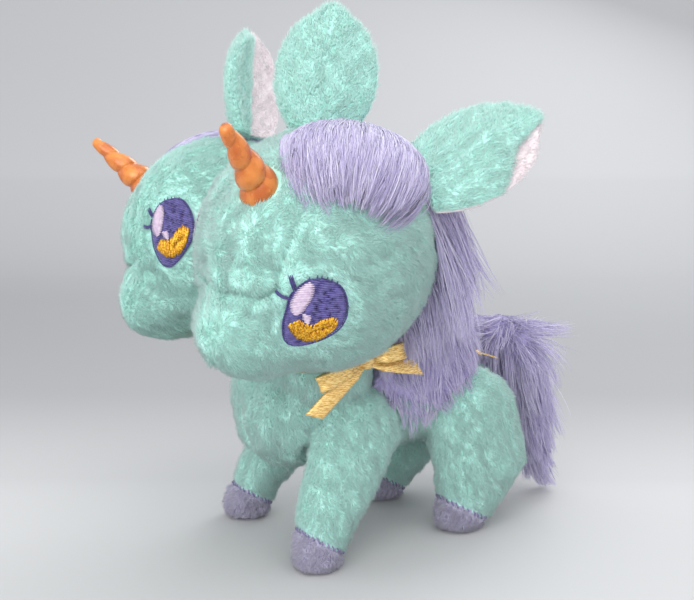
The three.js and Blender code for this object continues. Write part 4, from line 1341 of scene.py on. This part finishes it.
def make_bow(knot, loops, ends, out, width):
    """The loops and ends of a tied bow; loops go out from the knot and back."""
    out = unit(out)
    knot = np.asarray(knot, float)
    for node, tip, depth in loops:
        tip = np.asarray(tip, float)
        reach = tip - knot
        d = unit(reach)
        up = tangent(out[None], d[None])[0]
        side = np.cross(d, up)
        near = knot + d * 2.2
        line = bezier([near + up * 0.3, knot + reach * 0.45 + up * depth,
                       knot + reach * 0.85 + up * depth * 0.9, tip,
                       knot + reach * 0.85 - up * depth * 0.35,
                       knot + reach * 0.45 - up * depth * 0.35, near - up * 0.6], 44)
        t = np.linspace(0, 1, 44)
        gather = 0.62 + 0.38 * smooth_step(0, 0.25, np.minimum(t, 1 - t))
        normal = np.cross(np.gradient(line, axis=0), side)
        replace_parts(strip(f"{node}_satin", line, normal, width * gather, 0.35), node)
    for node, path, facing in ends:
        line = bezier(path, 30)
        gather = 0.6 + 0.4 * smooth_step(0, 0.3, np.linspace(0, 1, 30))
        obj = strip(f"{node}_satin", line, facing, width * gather, 0.25)
        # The far end is cut on a slant.
        d = unit(line[-1] - line[-4])
        normal = tangent(np.asarray(facing, float)[None], d[None])[0]
        across = np.cross(d, normal)
        for v in obj.data.vertices:
            gap = np.array(v.co) / MM - BODY_SHIFT - path[-1]
            share = np.clip(1 + (gap @ d) / 5.0, 0, 1)
            v.co += Vector(d * MM * share * (gap @ across) * 0.55)
        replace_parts(obj, node)


def make_knot(name, knot, half, out, node):
    """A wrapped knot: a rounded lump with folds of ribbon over it."""
    points, faces = ball([0, 0, 0], [1, 1, 1], 5)
    fold = 0.10 * np.sin(points[:, 2] * 7 + points[:, 0] * 1.4) * (1 - np.abs(points[:, 0]))
    points = points * np.array(half) * (1 + fold[:, None]) * 0.97
    obj = mesh_object(name, placed(points + knot), faces, [RIBBON])
    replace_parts(obj, node)
    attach(obj, "torso")
    return obj


COLLAR_HALF = (36.6, 24.0)
COLLAR_MIDDLE = (-25.5, 73.5)    # y and z
COLLAR_SLOPE = 6                 # degrees, higher at the back
NECK_KNOT = np.array([41.2, -21, 73.5])
TAIL_KNOT = np.array([3, 45, 64.8])


def make_ribbons():
    angle = np.linspace(0, 2 * math.pi, 160)
    (half_x, half_y), (y, z) = COLLAR_HALF, COLLAR_MIDDLE
    rise = math.tan(math.radians(COLLAR_SLOPE))
    ring = np.stack([half_x * np.cos(angle), y + half_y * np.sin(angle),
                     z + half_y * np.sin(angle) * rise], axis=1)
    facing = np.stack([np.cos(angle) / half_x, np.sin(angle) / half_y, np.zeros(160)], axis=1)
    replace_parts(strip("neck_ribbon_satin", ring, unit(facing), 5.8, 0.15), "neck_ribbon")
    out = [1, -0.15, 0.15]
    make_bow(
        NECK_KNOT,
        [("bow_loop_front", [43.8, -40.5, 67.5], 2.3),
         ("bow_loop_rear", [44.8, -8, 76.5], 2.3)],
        [("bow_end_front",
          [NECK_KNOT + [0.4, -2, -1.6], [43.4, -28, 69.5], [43.6, -35, 63.5], [42.6, -41.5, 57.0]],
          [1, -0.1, 0.25]),
         ("bow_end_rear",
          [NECK_KNOT + [0.4, 2, -1.2], [43.6, -14, 71.8], [44.6, -8, 70.8], [43.2, -1.5, 69.6]],
          [0.9, 0.0, 0.55])],
        out, 5.4)
    make_knot("bow_knot_satin", NECK_KNOT, (2.9, 3.1, 3.3), out, "bow_knot")
    facing = [0, 0.2, 1]
    make_bow(
        TAIL_KNOT,
        [("tail_bow_loop_left", TAIL_KNOT + [11.5, 1, 0.2], 1.5),
         ("tail_bow_loop_right", TAIL_KNOT + [-11.5, 1, 0.8], 1.5)],
        [("tail_bow_end_left",
          [TAIL_KNOT + [1.5, 1, -0.4], TAIL_KNOT + [6, 4, -0.2], TAIL_KNOT + [11, 10, -2.2]],
          facing),
         ("tail_bow_end_right",
          [TAIL_KNOT + [-1.5, -1, 0.2], TAIL_KNOT + [-6, -2.5, 0.8],
           TAIL_KNOT + [-10, -4.5, 1.2]],
          facing)],
        facing, 3.2)
    make_knot("tail_bow_knot_satin", TAIL_KNOT, (2.2, 2.0, 2.0), [0, 0, 1], "tail_bow_knot")


# ---- Build -----------------------------------------------------------------------------------

cover_body()
dress_body()
sew_hooves()
for label, side in SIDES.items():
    make_head(side)
    for place in EARS:
        make_ear(place, side)
    make_forelock(side)
    make_mane(side)
make_back_mane()
make_tail()
make_ribbons()

# ---- Floor, light and camera -----------------------------------------------------------------

def make_stage():
    """A pale sweep that rises behind the animal."""
    rows = []
    for k in range(60):
        t = k / 59
        reach = -1.6 + 3.4 * t
        rise = 0.0
        if reach > 0.75:
            bend = min(1.0, (reach - 0.75) / 0.5)
            rise = 0.5 * (1 - math.cos(bend * math.pi / 2)) + max(0, reach - 1.25) * 1.6
        rows.append((reach, rise))
    away = Vector((-0.863, 0.488, 0)).normalized()
    across = Vector((0.492, 0.870, 0)).normalized()
    points, faces = [], []
    for reach, rise in rows:
        for side in np.linspace(-2.6, 2.6, 12):
            p = away * reach + across * side
            points.append((p.x, p.y, rise - 0.0002))
    for r in range(len(rows) - 1):
        for c in range(11):
            a = r * 12 + c
            faces.append([a, a + 1, a + 13, a + 12])
    paper = grained("studio_paper", "#C9CACC", "#D2D3D5", 0.85, 0.4, bump=0.02)
    tree = paper.node_tree
    # The paper's colour is painted by distance along the sweep: light in front, darkest just
    # behind the animal and a little lighter up the curve into the wall; this is painted shade for
    # the way the light falls off.
    place = tree.nodes.new("ShaderNodeTexCoord")
    along = tree.nodes.new("ShaderNodeVectorMath")
    along.operation = "DOT_PRODUCT"
    along.inputs[1].default_value = away
    painted_shade_ramp = tree.nodes.new("ShaderNodeValToRGB")
    ramp = painted_shade_ramp.color_ramp
    ramp.interpolation = "B_SPLINE"
    ramp.elements[0].position, ramp.elements[0].color = 0.05, linear("#C2C3C4")
    ramp.elements[1].position, ramp.elements[1].color = 0.98, linear("#B4B5B7")
    for at, painted_shade_tone in ((0.22, "#939496"), (0.8, "#A0A1A3")):
        ramp.elements.new(at).color = linear(painted_shade_tone)
    tree.links.new(place.outputs["Object"], along.inputs[0])
    tree.links.new(along.outputs["Value"], painted_shade_ramp.inputs["Fac"])
    tree.links.new(painted_shade_ramp.outputs["Color"], tree.nodes["Principled BSDF"].inputs["Base Color"])
    sweep = mesh_object("studio_sweep", np.array(points), np.array(faces), [paper])


make_stage()


def add_area(name, place, target, size, power, colour=(1, 1, 1)):
    light = bpy.data.lights.new(name, "AREA")
    light.shape = "DISK"
    light.size = size
    light.energy = power
    light.color = colour
    lamp = bpy.data.objects.new(name, light)
    lamp.location = place
    lamp.rotation_euler = (Vector(target) - Vector(place)).to_track_quat("-Z", "Y").to_euler()
    bpy.context.scene.collection.objects.link(lamp)


# A window high on the camera's right, a wide fill and a soft light from behind.
add_area("key", (0.55, -0.1, 1.05), (0, 0, 0.08), 1.1, 3.6, (1.0, 0.985, 0.96))
add_area("fill", (0.75, -0.85, 0.4), (0, 0, 0.07), 1.1, 7.4, (1.0, 0.99, 0.98))
add_area("rim", (-0.5, 0.8, 0.8), (0, 0, 0.1), 0.7, 5.0, (0.97, 0.99, 1.0))

world = bpy.data.worlds.new("studio")
world.use_nodes = True
world.node_tree.nodes["Background"].inputs["Color"].default_value = (0.97, 0.975, 1.0, 1)
world.node_tree.nodes["Background"].inputs["Strength"].default_value = 1.02
scene = bpy.context.scene
scene.world = world
scene.view_settings.view_transform = "Standard"
scene.view_settings.look = "None"

# The photograph's camera: its place in metres, and its focal length in the photo's pixels.
SENSOR = 36
PHOTO_WIDTH, FOCAL_PIXELS = 694, 958.4
CAMERA_PLACE = (0.3114, -0.18927, 0.1351)

camera_data = bpy.data.cameras.new("camera")
camera_data.sensor_width = SENSOR
camera_data.lens = SENSOR * FOCAL_PIXELS / PHOTO_WIDTH
camera = bpy.data.objects.new("camera", camera_data)
right = Vector((0.492, 0.870, 0.0)).normalized()
back = Vector((0.863, -0.488, 0.1305)).normalized()
up = back.cross(right).normalized()
right = up.cross(back).normalized()
pose = Matrix((right, up, back)).transposed().to_4x4()
pose.translation = Vector(CAMERA_PLACE)
camera.matrix_world = pose
scene.collection.objects.link(camera)
scene.camera = camera
